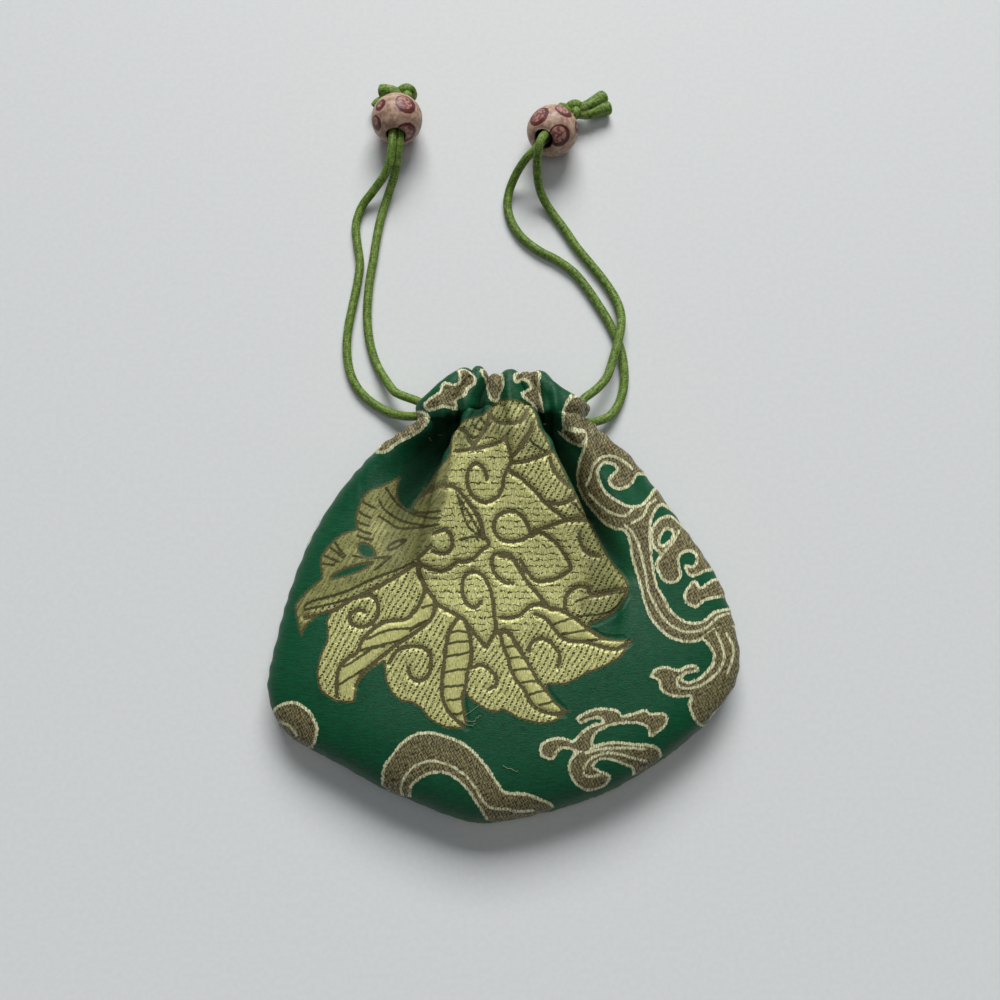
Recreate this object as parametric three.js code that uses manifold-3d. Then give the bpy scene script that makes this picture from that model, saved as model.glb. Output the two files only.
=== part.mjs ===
// Small drawstring pouch of flowered brocade, lying on its back with its mouth drawn closed.
// Millimetres, +Z up. The origin is on the surface under the middle of the pouch, +Y runs from
// the point of its bottom seam to its mouth, and +X is to the right as seen from above.
import * as THREE from 'three';
import { mergeVertices } from 'three/addons/utils/BufferGeometryUtils.js';
import Module from 'manifold-3d';

// Driving dimensions of the cloth
const POUCH_WIDTH = 102.6; // over the side seams, at the widest row
const POUCH_LENGTH = 97.4; // from the bottom point to the top of the gathers
const BODY_HEIGHT = 17.4; // from the surface to the top of the swell
const SEAM_HEIGHT = 5.6; // of the side and bottom seams above the surface
const CLOTH = 1.0; // thickness of the brocade wall
const SEAM_GAP = 0.3; // left between the two panels along their seam
const FOLD_RELIEF = 6.4; // how far the deepest body fold stands in or out

// Driving dimensions of the gathers
const NECK_WIDTH = 38; // over the drawn gathers
const MOUTH_CLEAR = 4.8; // open height between the two hems
const FRONT_LOBE = 2.3; // tallest gather of the front hem
const BACK_LOBE = 1.2; // tallest gather of the back hem
const HEM_RIPPLE = 0.4; // how far a gather shows inside the mouth
const STITCH_PINCH = 0.6; // from the middle of the hem to each wall at the row of stitches
const SLIT_ABOVE = 20; // degrees from the side point of the gathers up to the front hem
const SLIT_BELOW = 50; // degrees from there down to the back hem

// Driving dimensions of the drawcords, beads and knots
const CORD = 1.9; // diameter
const CORD_CLEARANCE = 0.3; // left between two cords, and between a cord and a bead's bore
const TUNNEL_CLEARANCE = 0.5; // left between a cord and the hem round it
const BEAD_WIDTH = 12; // across the bore
const BEAD_LENGTH = 10.8; // along the bore
const BORE_LIP = 0.4; // least width of the flat round the bore's mouth
const KNOT_WIDTH = 5.4;
const KNOT_THICKNESS = 4;

// Sizes that follow from them
const HALF_WIDTH = (POUCH_WIDTH - CLOTH) / 2;
const TUNNEL = CORD / 2 + TUNNEL_CLEARANCE + CLOTH / 2; // from the cord's middle to each wall's middle
const RING_RADIUS = MOUTH_CLEAR / 2 + HEM_RIPPLE + CLOTH / 2 + TUNNEL; // of the gathers' rounded sides
const RING_HEIGHT = BACK_LOBE + CLOTH / 2 + TUNNEL + RING_RADIUS; // of the ring's middle
const RING_STRAIGHT = NECK_WIDTH / 2 - CLOTH / 2 - TUNNEL - RING_RADIUS; // half of its straight run
const LANE = CORD + 2 * CORD_CLEARANCE; // from one cord to the other in the tunnel
const FOLD_START = POUCH_LENGTH / 2 - CLOTH / 2 - TUNNEL - FRONT_LOBE / 2;
const CASING_DEPTH = LANE + CORD / 2 + CLOTH + TUNNEL_CLEARANCE; // stitches to where the hem turns over
const BORE = 2 * CORD + 3 * CORD_CLEARANCE;

// The outline seen from above. Places across are shares of HALF_WIDTH and places along are
// shares of POUCH_LENGTH, both from the origin.
const BOTTOM_SEAM = [
  // share of the way from the left corner to the right one, place along
  { at: 0, along: -0.288 },
  { at: 0.03, along: -0.314 },
  { at: 0.08, along: -0.342 },
  { at: 0.15, along: -0.378 },
  { at: 0.22, along: -0.416 },
  { at: 0.3, along: -0.449 },
  { at: 0.38, along: -0.48 },
  { at: 0.44, along: -0.4945 },
  { at: 0.49, along: -0.4925 },
  { at: 0.58, along: -0.476 },
  { at: 0.67, along: -0.451 },
  { at: 0.755, along: -0.418 },
  { at: 0.825, along: -0.378 },
  { at: 0.88, along: -0.342 },
  { at: 0.93, along: -0.303 },
  { at: 0.97, along: -0.266 },
  { at: 1, along: -0.228 },
];
const LEFT_SEAM = [
  // share of the way from the bottom corner to the gathers, place across, place along
  { at: 0, across: -0.943, along: -0.288 },
  { at: 0.06, across: -0.983, along: -0.246 },
  { at: 0.13, across: -1, along: -0.197 },
  { at: 0.28, across: -0.968, along: -0.1 },
  { at: 0.43, across: -0.917, along: 0.01 },
  { at: 0.58, across: -0.837, along: 0.123 },
  { at: 0.73, across: -0.719, along: 0.226 },
  { at: 0.86, across: -0.561, along: 0.313 },
  { at: 0.95, across: -0.418, along: 0.37 },
];
const RIGHT_SEAM = [
  { at: 0, across: 0.937, along: -0.228 },
  { at: 0.05, across: 0.978, along: -0.196 },
  { at: 0.12, across: 1, along: -0.145 },
  { at: 0.2, across: 0.99, along: -0.09 },
  { at: 0.3, across: 0.96, along: -0.023 },
  { at: 0.43, across: 0.909, along: 0.046 },
  { at: 0.56, across: 0.807, along: 0.129 },
  { at: 0.68, across: 0.719, along: 0.197 },
  { at: 0.8, across: 0.6, along: 0.275 },
  { at: 0.9, across: 0.482, along: 0.333 },
  { at: 0.96, across: 0.4, along: 0.373 },
];
const RING_ACROSS = -0.012; // middle of the gathers, as a share of HALF_WIDTH
const RING_DROP = { left: 0.038, right: 0.023 }; // how much lower its sides lie, of POUCH_LENGTH

// Height of the swell from the bottom seam to the gathers
const SWELL = [
  // share of the way up, share of BODY_HEIGHT, and how far the seam has risen to the ring
  { at: 0, front: 0.9, rise: 0 },
  { at: 0.25, front: 0.92, rise: 0 },
  { at: 0.5, front: 0.97, rise: 0 },
  { at: 0.7, front: 0.97, rise: 0.15 },
  { at: 0.88, front: 0.95, rise: 0.7 },
  { at: 1, front: 0.94, rise: 1 },
];
const BOTTOM_ROUND = 0.3; // share of the way up over which the bottom edge rounds over
const BODY_START = 0.25; // share of the rows that crowd towards the bottom seam
const SIDE_ROUND = 0.5; // 0.5 turns the side edge upright, and 0 leaves it sharp
const BACK_FLAT = 2.6; // how soon the back comes down to lie flat
const RING_START = 0.72; // share of the way up where the gathers' ring begins to shape the body
const SLIT_START = 0.93; // share of the way up where the side seam ends in the cords' slit

// Folds of the front. The line of each runs down through three places, given as shares of
// HALF_WIDTH across and POUCH_LENGTH along. Heights are shares of FOLD_RELIEF at those places,
// and reach is the half width on either side, as shares of HALF_WIDTH.
const FRONT_FOLDS = [
  { name: 'left shoulder', line: [[-0.31, 0.4], [-0.52, 0.31], [-0.72, 0.18]],
    heights: [0.2, 0.35, 0], reach: [0.1, 0.08], lean: 0 },
  { name: 'left hollow', line: [[-0.23, 0.4], [-0.31, 0.29], [-0.47, 0.13]],
    heights: [-0.5, -1, 0], reach: [0.12, 0.06], lean: 0 },
  { name: 'pleat left crest', line: [[-0.17, 0.4], [-0.23, 0.25], [-0.38, 0.02]],
    heights: [0.1, 0.5, 0], reach: [0.035, 0.2], lean: -0.3 },
  { name: 'pleat right crest', line: [[0.15, 0.4], [0.29, 0.22], [0.55, -0.01]],
    heights: [0.15, 0.62, 0.08], reach: [0.22, 0.028], lean: 0.45 },
  { name: 'right hollow', line: [[0.205, 0.4], [0.36, 0.22], [0.58, 0.03]],
    heights: [-0.45, -0.75, 0], reach: [0.035, 0.09], lean: 0 },
  { name: 'right shoulder', line: [[0.27, 0.4], [0.45, 0.25], [0.68, 0.05]],
    heights: [0.25, 0.3, 0], reach: [0.06, 0.12], lean: 0 },
  { name: 'side hollow', line: [[0.305, 0.4], [0.43, 0.3], [0.57, 0.19]],
    heights: [-0.25, -0.35, 0], reach: [0.035, 0.06], lean: 0 },
];

// Gathers of each hem: the middle and half width across, as shares of half the neck, and the
// height as a share of the tallest gather
const FRONT_GATHERS = [
  { middle: -0.8, reach: 0.15, height: 0.5 },
  { middle: -0.52, reach: 0.17, height: 1 },
  { middle: -0.28, reach: 0.11, height: 0.95 },
  { middle: -0.1, reach: 0.08, height: 0.3 },
  { middle: 0.14, reach: 0.18, height: 0.7 },
  { middle: 0.36, reach: 0.07, height: 0.35 },
  { middle: 0.58, reach: 0.17, height: 0.85 },
  { middle: 0.86, reach: 0.12, height: 0.6 },
];
const BACK_GATHERS = [
  { middle: -0.78, reach: 0.16, height: 0.6 },
  { middle: -0.46, reach: 0.16, height: 1 },
  { middle: -0.14, reach: 0.16, height: 0.8 },
  { middle: 0.18, reach: 0.16, height: 1 },
  { middle: 0.5, reach: 0.16, height: 0.85 },
  { middle: 0.82, reach: 0.16, height: 0.6 },
];
const FOLD_END = 0.06; // share of POUCH_LENGTH over which a fold dies out below its line
const FOLD_TOP = 0.9; // share of the way up where the gathers take over from the folds
const SWELL_SHAPE = 0.75; // power of the rounding, so that the swell is broad on top
const PINCH_ONSET = 8; // power of the place along the hem, so that only its edge is pinched
const GATHER_FADE = 0.07; // share of the way down over which a gather runs into the body

// Routes of the free strands, from the gathers to the knot: places in millimetres
const LEFT_STRAND_A = [
  [-16.98, 41.4, 10.35], [-17.6, 41.5, 9.1], [-19.4, 42.2, 7.4], [-21.9, 43.9, 5.9], [-24.8, 47, 4.1],
  [-27.2, 50.6, 2.4], [-29.2, 54.2, 1.3], [-30.5, 57.6, 1], [-31.4, 61.4, 1], [-31.9, 66.8, 1],
  [-31.7, 72.7, 1], [-31.3, 76.6, 1], [-30.7, 80.6, 1], [-30.1, 85.4, 1], [-29.4, 89.7, 1],
  [-28.1, 93.7, 1.2], [-26.9, 97, 2.2], [-26.2, 100.2, 3.6], [-25.7, 103, 5.1], [-25.45, 105.8, 6.4],
  [-25.39, 108.44, 6.75], [-25.3, 113.54, 5], [-25.2, 118.3, 3.35],
];
const LEFT_STRAND_B = [
  [-15.6, 41.4, 5.12], [-17, 41.4, 5.75], [-18.9, 41.3, 5.4], [-21, 41.3, 4.5], [-23.4, 41.8, 3.1],
  [-26, 42.9, 1.8], [-28.8, 44.5, 1.1], [-31.6, 46.6, 1], [-33.8, 49.1, 1], [-35.3, 52, 1],
  [-36.2, 55.5, 1], [-36.5, 59.5, 1], [-36.2, 64, 1], [-35.2, 69.8, 1], [-34.3, 75, 1],
  [-33.9, 79.5, 1], [-34.6, 84.5, 1], [-35, 89.3, 1], [-33.8, 93.8, 1.2], [-31.3, 97.2, 2.7],
  [-28.7, 100.1, 4.9], [-26.8, 102.9, 7.2], [-25.8, 105.8, 8.7], [-25.4, 109.1, 8.8],
  [-25.3, 114.26, 7.05], [-25.2, 119, 5.4],
];
const RIGHT_STRAND_A = [
  [15.75, 40.36, 10.35], [16.4, 40.45, 9.1], [18.2, 41.1, 7.5], [20.3, 43, 6.2], [22.1, 46.4, 5],
  [23.6, 50.4, 4], [25, 54.6, 3.5], [26.2, 58.8, 3.3], [27.2, 63, 2.9], [27.3, 67, 1.9],
  [26.2, 70.8, 1.2], [23.8, 75, 1], [20.7, 79.2, 1], [17.2, 83.8, 1], [14.6, 87.9, 1],
  [12.2, 91.4, 1], [10.4, 93.8, 1.7], [8.8, 96.4, 3.5], [8, 99, 6], [7.8, 101.3, 8.4],
  [8, 103.3, 10.45], [8.35, 105, 11.3], [8.95, 106.6, 11.05], [9.9, 108.2, 9.85],
  [11.94, 111.45, 6.95], [14.2, 114.95, 3.95],
];
const RIGHT_STRAND_B = [
  [14.4, 40.36, 5.12], [15.8, 40.2, 5.75], [17.7, 39.9, 5.4], [19.8, 39.8, 4.5], [22.3, 40.6, 3.1],
  [24.8, 42.6, 1.8], [26.7, 45.7, 1.1], [27.8, 49.8, 1], [27.9, 54, 1], [27.3, 58, 1],
  [26, 61.8, 1], [24.3, 65.6, 1], [22, 69.6, 1], [19.4, 73.7, 1], [16.4, 77.5, 1],
  [12.6, 80.4, 1], [8.2, 82.9, 1], [4.3, 86.2, 1], [1.8, 90.3, 1], [0.9, 94.6, 1],
  [1.5, 98, 1.8], [2.9, 100.7, 3.9], [4.5, 102.5, 6.3], [5.9, 103.6, 8], [7.2, 104.6, 8.8],
  [8.3, 105.8, 8.8], [9.4, 107.5, 7.7], [11.26, 110.35, 5.2], [12.9, 113, 2.95], [13.95, 114.6, 2.05],
];
const STRAND_STEP = 1.8; // diameters between the rings of a strand's tube

// Each bead's middle, and the way its bore runs, towards the pouch
const BEADS = {
  left: { place: [-25.3, 113.9, 6.05], bore: [-0.016, -0.945, 0.326] },
  right: { place: [11.6, 110.9, 6.05], bore: [-0.43, -0.687, 0.585] },
};
// Each knot's middle, and how far from it its two cut ends reach
const KNOTS = {
  left: { place: [-25.5, 120.85, 3.5], tails: [[-6.7, 1.2, -1.1], [-6.4, -1.2, -2.1]] },
  right: { place: [15.85, 117, 2.9], tails: [[9.1, 3.9, -1.1], [9.5, 0.8, -1.4]] },
};
const BEAD_CROWN = [
  // share of half the length, share of half the width
  { along: 0.94, out: 0.56 },
  { along: 0.74, out: 0.76 },
  { along: 0.4, out: 0.945 },
  { along: 0, out: 1 },
  { along: -0.4, out: 0.945 },
  { along: -0.74, out: 0.76 },
  { along: -0.94, out: 0.56 },
];

// Grid of the panels and facets of the round pieces
const GRID = {
  front: { columns: 40, body: 18, turn: 4 },
  back: { columns: 30, body: 12, turn: 3 },
};
const PINCH_ROW = 0.25; // share of the hem's depth below which its two walls come together
const NEARBY = 0.004; // step across and along the cloth that its slope is taken over
const CORD_SIDES = 8;
const CASING_POINTS = 12; // places that set each run of a cord through its tunnel
const CASING_STEPS = 40;
const BEAD_SIDES = 16;
const KNOT_SIDES = 12;
const KNOT_ROWS = 8;
const TAIL_STEPS = 3;

const BROCADE = { color: 0x0a6e43, roughness: 0.5, metalness: 0 };
const RATTAIL = { color: 0x5a8232, roughness: 0.35, metalness: 0 };
const WOOD = { color: 0xb99178, roughness: 0.6, metalness: 0 };

const clamp = THREE.MathUtils.clamp;
const lerp = THREE.MathUtils.lerp;
const smoothstep = THREE.MathUtils.smoothstep;

// Value of a column of a table at a place, on a smooth curve through the rows
function lookUp(table, column, at) {
  const last = table.length - 1;
  let i = 0;
  while (i < last - 1 && at > table[i + 1].at) i++;
  const rows = [table[Math.max(i - 1, 0)], table[i], table[i + 1], table[Math.min(i + 2, last)]];
  const slope = (a, b) => (b[column] - a[column]) / (b.at - a.at);
  const span = rows[2].at - rows[1].at;
  const t = clamp((at - rows[1].at) / span, 0, 1);
  const startSlope = slope(rows[0], rows[2]) * span;
  const endSlope = slope(rows[1], rows[3]) * span;
  return (2 * t ** 3 - 3 * t ** 2 + 1) * rows[1][column] + (t ** 3 - 2 * t ** 2 + t) * startSlope
    + (3 * t ** 2 - 2 * t ** 3) * rows[2][column] + (t ** 3 - t ** 2) * endSlope;
}

// Middle of the drawcord tunnel round the gathers, and the way out of it. Across runs from -1
// at the left side to 1 at the right, and side is 1 for the front and -1 for the back.
function ring(across, side) {
  const gap = THREE.MathUtils.degToRad(side > 0 ? SLIT_ABOVE : SLIT_BELOW);
  const arc = RING_RADIUS * (Math.PI / 2 - gap);
  const run = Math.abs(across) * (RING_STRAIGHT + arc);
  const turned = Math.max(run - RING_STRAIGHT, 0) / RING_RADIUS;
  const x = Math.min(run, RING_STRAIGHT) + RING_RADIUS * Math.sin(turned);
  const drop = across < 0 ? RING_DROP.left : RING_DROP.right;
  const way = Math.sign(across);
  return {
    x: RING_ACROSS * HALF_WIDTH + way * x,
    y: FOLD_START - drop * POUCH_LENGTH * across ** 2,
    z: RING_HEIGHT + side * RING_RADIUS * Math.cos(turned),
    outX: way * Math.sin(turned),
    outZ: side * Math.cos(turned),
    share: (way * x) / (NECK_WIDTH / 2),
  };
}

// A rounded bump, 1 in its middle and 0 past its reach
function bump(distance, reach) {
  return Math.abs(distance) < reach ? 0.5 + 0.5 * Math.cos((Math.PI * distance) / reach) : 0;
}

function gathers(share, side) {
  const table = side > 0 ? FRONT_GATHERS : BACK_GATHERS;
  return Math.min(1, table.reduce((sum, g) => sum + g.height * bump(share - g.middle, g.reach), 0));
}

// Plan of the seam outline: a patch stretched between the bottom seam, the two side seams and
// the row of stitches under the gathers
function plan(across, up, stitch, stitchLeft, stitchRight) {
  const s = (1 + (1 + SIDE_ROUND) * across - SIDE_ROUND * across ** 3) / 2;
  const scaled = (acrossShare, alongShare) => [acrossShare * HALF_WIDTH, alongShare * POUCH_LENGTH];
  const seam = (table, end) => {
    const last = table[table.length - 1];
    if (up <= last.at) return scaled(lookUp(table, 'across', up), lookUp(table, 'along', up));
    const [x, y] = scaled(last.across, last.along);
    const t = (up - last.at) / (1 - last.at);
    return [lerp(x, end.x, t), lerp(y, end.y, t)];
  };
  const from = LEFT_SEAM[0];
  const to = RIGHT_SEAM[0];
  const bottom = scaled(lerp(from.across, to.across, s), lookUp(BOTTOM_SEAM, 'along', s));
  const left = seam(LEFT_SEAM, stitchLeft);
  const right = seam(RIGHT_SEAM, stitchRight);
  const bottomLeft = scaled(from.across, from.along);
  const bottomRight = scaled(to.across, to.along);
  const top = [stitch.x, stitch.y];
  const topLeft = [stitchLeft.x, stitchLeft.y];
  const topRight = [stitchRight.x, stitchRight.y];
  return [0, 1].map((k) => lerp(bottom[k], top[k], up) + lerp(left[k], right[k], s)
    - lerp(lerp(bottomLeft[k], bottomRight[k], s), lerp(topLeft[k], topRight[k], s), up));
}

// Height of the folds at a place on the front, and how far they lean across
function folds(x, y) {
  let height = 0;
  let lean = 0;
  for (const fold of FRONT_FOLDS) {
    const [a, b, c] = fold.line;
    const along = y / POUCH_LENGTH;
    const t = clamp((along - a[1]) / (c[1] - a[1]), 0, 1);
    const bend = (b[1] - a[1]) / (c[1] - a[1]);
    // The line and its height pass through the middle place as a parabola in t.
    const through = (p, q, r) => lerp(p, r, t) + ((q - lerp(p, r, bend)) * t * (1 - t)) / (bend * (1 - bend));
    const off = x / HALF_WIDTH - through(a[0], b[0], c[0]);
    const shape = Math.exp(-((off / fold.reach[off < 0 ? 0 : 1]) ** 2));
    const end = along < c[1] ? Math.exp(-(((c[1] - along) / FOLD_END) ** 2)) : 1;
    const lift = FOLD_RELIEF * through(...fold.heights) * shape * end;
    height += lift;
    lean += lift * fold.lean;
  }
  return { height, lean };
}

// Middle of the cloth. Row runs 0 to 1 up the body, 1 to 2 up the outer wall of the hem,
// 2 to 3 over its top and 3 to 4 down its inner wall to the stitches.
function clothMiddle(across, row, side) {
  const here = ring(across, side);
  const relief = gathers(here.share, side);
  const outer = TUNNEL + (side > 0 ? FRONT_LOBE : BACK_LOBE) * relief;
  const inner = TUNNEL + HEM_RIPPLE * relief;
  const stitched = STITCH_PINCH + outer - TUNNEL;
  const fromRing = (out, y) => new THREE.Vector3(here.x + here.outX * out, y, here.z + here.outZ * out);
  if (row > 3) {
    const t = row - 3;
    return fromRing(-lerp(inner, STITCH_PINCH, t ** PINCH_ONSET), here.y - t * (CASING_DEPTH - CLOTH / 2));
  }
  if (row > 2) {
    const turn = (row - 2) * Math.PI;
    const radius = (outer + inner) / 2;
    return fromRing((outer - inner) / 2 + radius * Math.cos(turn), here.y + radius * Math.sin(turn));
  }
  if (row > 1) {
    const t = 2 - row;
    return fromRing(lerp(outer, stitched, t ** PINCH_ONSET), here.y - t * CASING_DEPTH);
  }
  const up = row < BODY_START ? (row * row) / (2 * BODY_START - BODY_START ** 2)
    : (2 * row - BODY_START) / (2 - BODY_START);
  const stitchAt = (place) => {
    const r = ring(place, side);
    return { x: r.x + r.outX * STITCH_PINCH, y: r.y - CASING_DEPTH, z: r.z + r.outZ * STITCH_PINCH };
  };
  const stitch = stitchAt(across);
  const [x, y] = plan(across, up, stitch, stitchAt(-1), stitchAt(1));
  const seam = lerp(SEAM_HEIGHT, RING_HEIGHT, lookUp(SWELL, 'rise', up)) + (side * SEAM_GAP) / 2;
  const low = Math.min(up / BOTTOM_ROUND, 1);
  const over = Math.sqrt(1 - (1 - low) ** 2);
  const round = (1 - across ** 2) * over;
  let z = seam + (lookUp(SWELL, 'front', up) * BODY_HEIGHT - CLOTH / 2 - seam) * round ** SWELL_SHAPE;
  if (side < 0) z = CLOTH / 2 + (seam - CLOTH / 2) * Math.max(0, 1 - BACK_FLAT * round) ** 2;
  const ringShare = smoothstep(up, RING_START, 1);
  const slit = stitchAt(1).z - RING_HEIGHT - (side * SEAM_GAP) / 2;
  const closed = slit * (1 - smoothstep(up, SLIT_START, 1)) * across ** 4;
  const point = new THREE.Vector3(x, y, lerp(z, stitch.z - closed, ringShare));
  if (side > 0) {
    const edge = Math.sqrt(round);
    const fold = folds(x, y);
    point.x += fold.lean * edge;
    point.z += fold.height * edge * (1 - smoothstep(up, FOLD_TOP, 1));
  }
  const gather = (outer - TUNNEL) * Math.exp(-(((1 - up) / GATHER_FADE) ** 2));
  point.x += here.outX * gather;
  point.z += here.outZ * gather;
  return point;
}

// The two faces of the cloth at a place, half its thickness to either side of the middle
function clothFaces(across, row, side) {
  const at = (a, r) => clothMiddle(clamp(a, -1, 1), clamp(r, 0, 4), side);
  const acrossWay = at(across + NEARBY, row).sub(at(across - NEARBY, row));
  const rowWay = at(across, row + NEARBY).sub(at(across, row - NEARBY));
  const normal = acrossWay.cross(rowWay).normalize();
  // Along the seam the two panels meet edge to edge, on level faces.
  if (Math.abs(across) === 1 || row === 0) normal.z *= smoothstep(row, SLIT_START, 1);
  normal.setLength((side * CLOTH) / 2);
  const middle = clothMiddle(across, row, side);
  return { face: middle.clone().add(normal), lining: middle.sub(normal) };
}

// One panel: a wall with an outer and an inner face, and the tunnel inside its hem, which is
// open at both ends
function panelGeometry(side, grid) {
  const rows = [];
  for (let i = 0; i < grid.body; i++) rows.push(i / grid.body);
  rows.push(1, 1 + PINCH_ROW);
  for (let i = 0; i < grid.turn; i++) rows.push(2 + i / grid.turn);
  rows.push(3, 4 - PINCH_ROW, 4);
  const vertices = [];
  const triangles = [];
  const add = (p) => vertices.push(p.x, p.y, p.z) / 3 - 1;
  const columns = [];
  for (let i = 0; i <= grid.columns; i++) {
    const across = (2 * i) / grid.columns - 1;
    const faces = rows.map((row) => clothFaces(across, row, side));
    columns.push({ face: faces.map((f) => add(f.face)), lining: faces.map((f) => add(f.lining)) });
  }
  const stitch = grid.body;
  const last = rows.length - 1;
  const quad = (a, b, c, d) => {
    if (side > 0) triangles.push(a, b, c, a, c, d);
    else triangles.push(a, c, b, a, d, c);
  };
  for (let i = 0; i < grid.columns; i++) {
    const a = columns[i];
    const b = columns[i + 1];
    for (let j = 0; j < last; j++) quad(a.face[j], b.face[j], b.face[j + 1], a.face[j + 1]);
    for (let j = 0; j < last; j++) {
      if (j !== stitch - 1) quad(a.lining[j], a.lining[j + 1], b.lining[j + 1], b.lining[j]);
    }
    quad(a.lining[0], b.lining[0], b.face[0], a.face[0]);
    // The raw edge of the hem comes down on the wall, and the tunnel closes above it.
    quad(a.face[last], b.face[last], b.lining[stitch - 1], a.lining[stitch - 1]);
    quad(a.lining[stitch], b.lining[stitch], b.lining[last], a.lining[last]);
  }
  for (const [column, turned] of [[columns[0], false], [columns[grid.columns], true]]) {
    const cap = (a, b, c, d) => (turned ? quad(d, c, b, a) : quad(a, b, c, d));
    for (let j = 0; j < stitch - 1; j++) {
      cap(column.lining[j], column.face[j], column.face[j + 1], column.lining[j + 1]);
    }
    for (let j = stitch; j < last; j++) {
      cap(column.lining[j], column.face[j], column.face[j + 1], column.lining[j + 1]);
    }
    cap(column.lining[stitch - 1], column.face[stitch - 1], column.face[stitch], column.lining[stitch]);
    cap(column.lining[stitch - 1], column.lining[stitch], column.lining[last], column.face[last]);
  }
  const geometry = new THREE.BufferGeometry();
  geometry.setAttribute('position', new THREE.Float32BufferAttribute(vertices, 3));
  geometry.setIndex(triangles);
  return geometry;
}

// A round tube along a smooth path
function tube(points, diameter, steps) {
  const section = new THREE.Shape();
  for (let i = 0; i < CORD_SIDES; i++) {
    const turn = (2 * Math.PI * (i + 0.5)) / CORD_SIDES;
    const corner = [(diameter / 2) * Math.cos(turn), (diameter / 2) * Math.sin(turn)];
    if (i === 0) section.moveTo(...corner);
    else section.lineTo(...corner);
  }
  const path = new THREE.CatmullRomCurve3(points);
  return new THREE.ExtrudeGeometry(section, { steps, extrudePath: path });
}

function strand(route) {
  const points = route.map((p) => new THREE.Vector3(...p));
  const length = new THREE.CatmullRomCurve3(points).getLength();
  return tube(points, CORD, Math.round(length / (STRAND_STEP * CORD)));
}

// The hidden stretch of a drawcord: out through the front tunnel, round the far side and back
// through the back tunnel. Far is 1 for a cord whose ends leave on the left.
function cordInCasing(far, lane) {
  const start = 1 - (2 * CORD_CLEARANCE) / NECK_WIDTH;
  const run = (side) => Array.from({ length: CASING_POINTS + 1 }, (_, i) => (
    ring(far * lerp(-start, 1, i / CASING_POINTS), side)));
  const sidePoint = { ...ring(far, 1), z: RING_HEIGHT };
  sidePoint.x = RING_ACROSS * HALF_WIDTH + far * (RING_STRAIGHT + RING_RADIUS);
  const places = [...run(1), sidePoint, ...run(-1).reverse()];
  return tube(places.map((p) => new THREE.Vector3(p.x, p.y - lane, p.z)), CORD, CASING_STEPS);
}

function beadGeometry() {
  const bore = BORE / 2;
  const profile = BEAD_CROWN.map((p) => new THREE.Vector2(
    Math.max((p.out * BEAD_WIDTH) / 2, bore + BORE_LIP), (p.along * BEAD_LENGTH) / 2));
  profile.unshift(new THREE.Vector2(bore, BEAD_LENGTH / 2));
  profile.push(new THREE.Vector2(bore, -BEAD_LENGTH / 2));
  profile.push(profile[0].clone());
  return new THREE.LatheGeometry(profile.reverse(), BEAD_SIDES);
}

const solids = await Module();
solids.setup();

function toSolid(geometry) {
  const bare = geometry.clone();
  bare.deleteAttribute('normal');
  bare.deleteAttribute('uv');
  const merged = mergeVertices(bare, 1e-4);
  return new solids.Manifold(new solids.Mesh({
    numProp: 3,
    vertProperties: new Float32Array(merged.attributes.position.array),
    triVerts: new Uint32Array(merged.index.array),
  }));
}

function fromSolid(solid) {
  const mesh = solid.getMesh();
  const geometry = new THREE.BufferGeometry();
  geometry.setAttribute('position', new THREE.BufferAttribute(new Float32Array(mesh.vertProperties), 3));
  geometry.setIndex(new THREE.BufferAttribute(new Uint32Array(mesh.triVerts), 1));
  return geometry;
}

// An overhand knot drawn tight, as a rounded lump with the two cut ends standing out of it
function knotGeometry(tails) {
  const lump = new THREE.SphereGeometry(0.5, KNOT_SIDES, KNOT_ROWS);
  let solid = toSolid(lump.scale(KNOT_WIDTH, KNOT_THICKNESS, KNOT_THICKNESS));
  for (const way of tails) {
    const end = new THREE.Vector3(...way);
    const middle = end.clone().multiplyScalar(0.5);
    solid = solid.add(toSolid(tube([new THREE.Vector3(), middle, end], CORD, TAIL_STEPS)));
  }
  return fromSolid(solid);
}

const pouch = new THREE.Group();

function addPiece(name, geometry, finish) {
  const mesh = new THREE.Mesh(geometry, new THREE.MeshStandardMaterial(finish));
  mesh.name = name;
  pouch.add(mesh);
  return mesh;
}

addPiece('front_panel', panelGeometry(1, GRID.front), BROCADE);
addPiece('back_panel', panelGeometry(-1, GRID.back), BROCADE);
addPiece('drawcord_left_in_casing', cordInCasing(1, 0), RATTAIL);
addPiece('drawcord_right_in_casing', cordInCasing(-1, LANE), RATTAIL);
addPiece('drawcord_left_strand_a', strand(LEFT_STRAND_A), RATTAIL);
addPiece('drawcord_left_strand_b', strand(LEFT_STRAND_B), RATTAIL);
addPiece('drawcord_right_strand_a', strand(RIGHT_STRAND_A), RATTAIL);
addPiece('drawcord_right_strand_b', strand(RIGHT_STRAND_B), RATTAIL);
for (const [name, bead] of Object.entries(BEADS)) {
  const mesh = addPiece(`bead_${name}`, beadGeometry(), WOOD);
  mesh.position.set(...bead.place);
  mesh.quaternion.setFromUnitVectors(new THREE.Vector3(0, 1, 0), new THREE.Vector3(...bead.bore).normalize());
}
for (const [name, knot] of Object.entries(KNOTS)) {
  const mesh = addPiece(`knot_${name}`, knotGeometry(knot.tails), RATTAIL);
  mesh.position.set(...knot.place);
}

export default pouch;
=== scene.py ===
# A small drawstring pouch of flowered brocade, lying on a table with its drawcords laid out
import math

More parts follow.
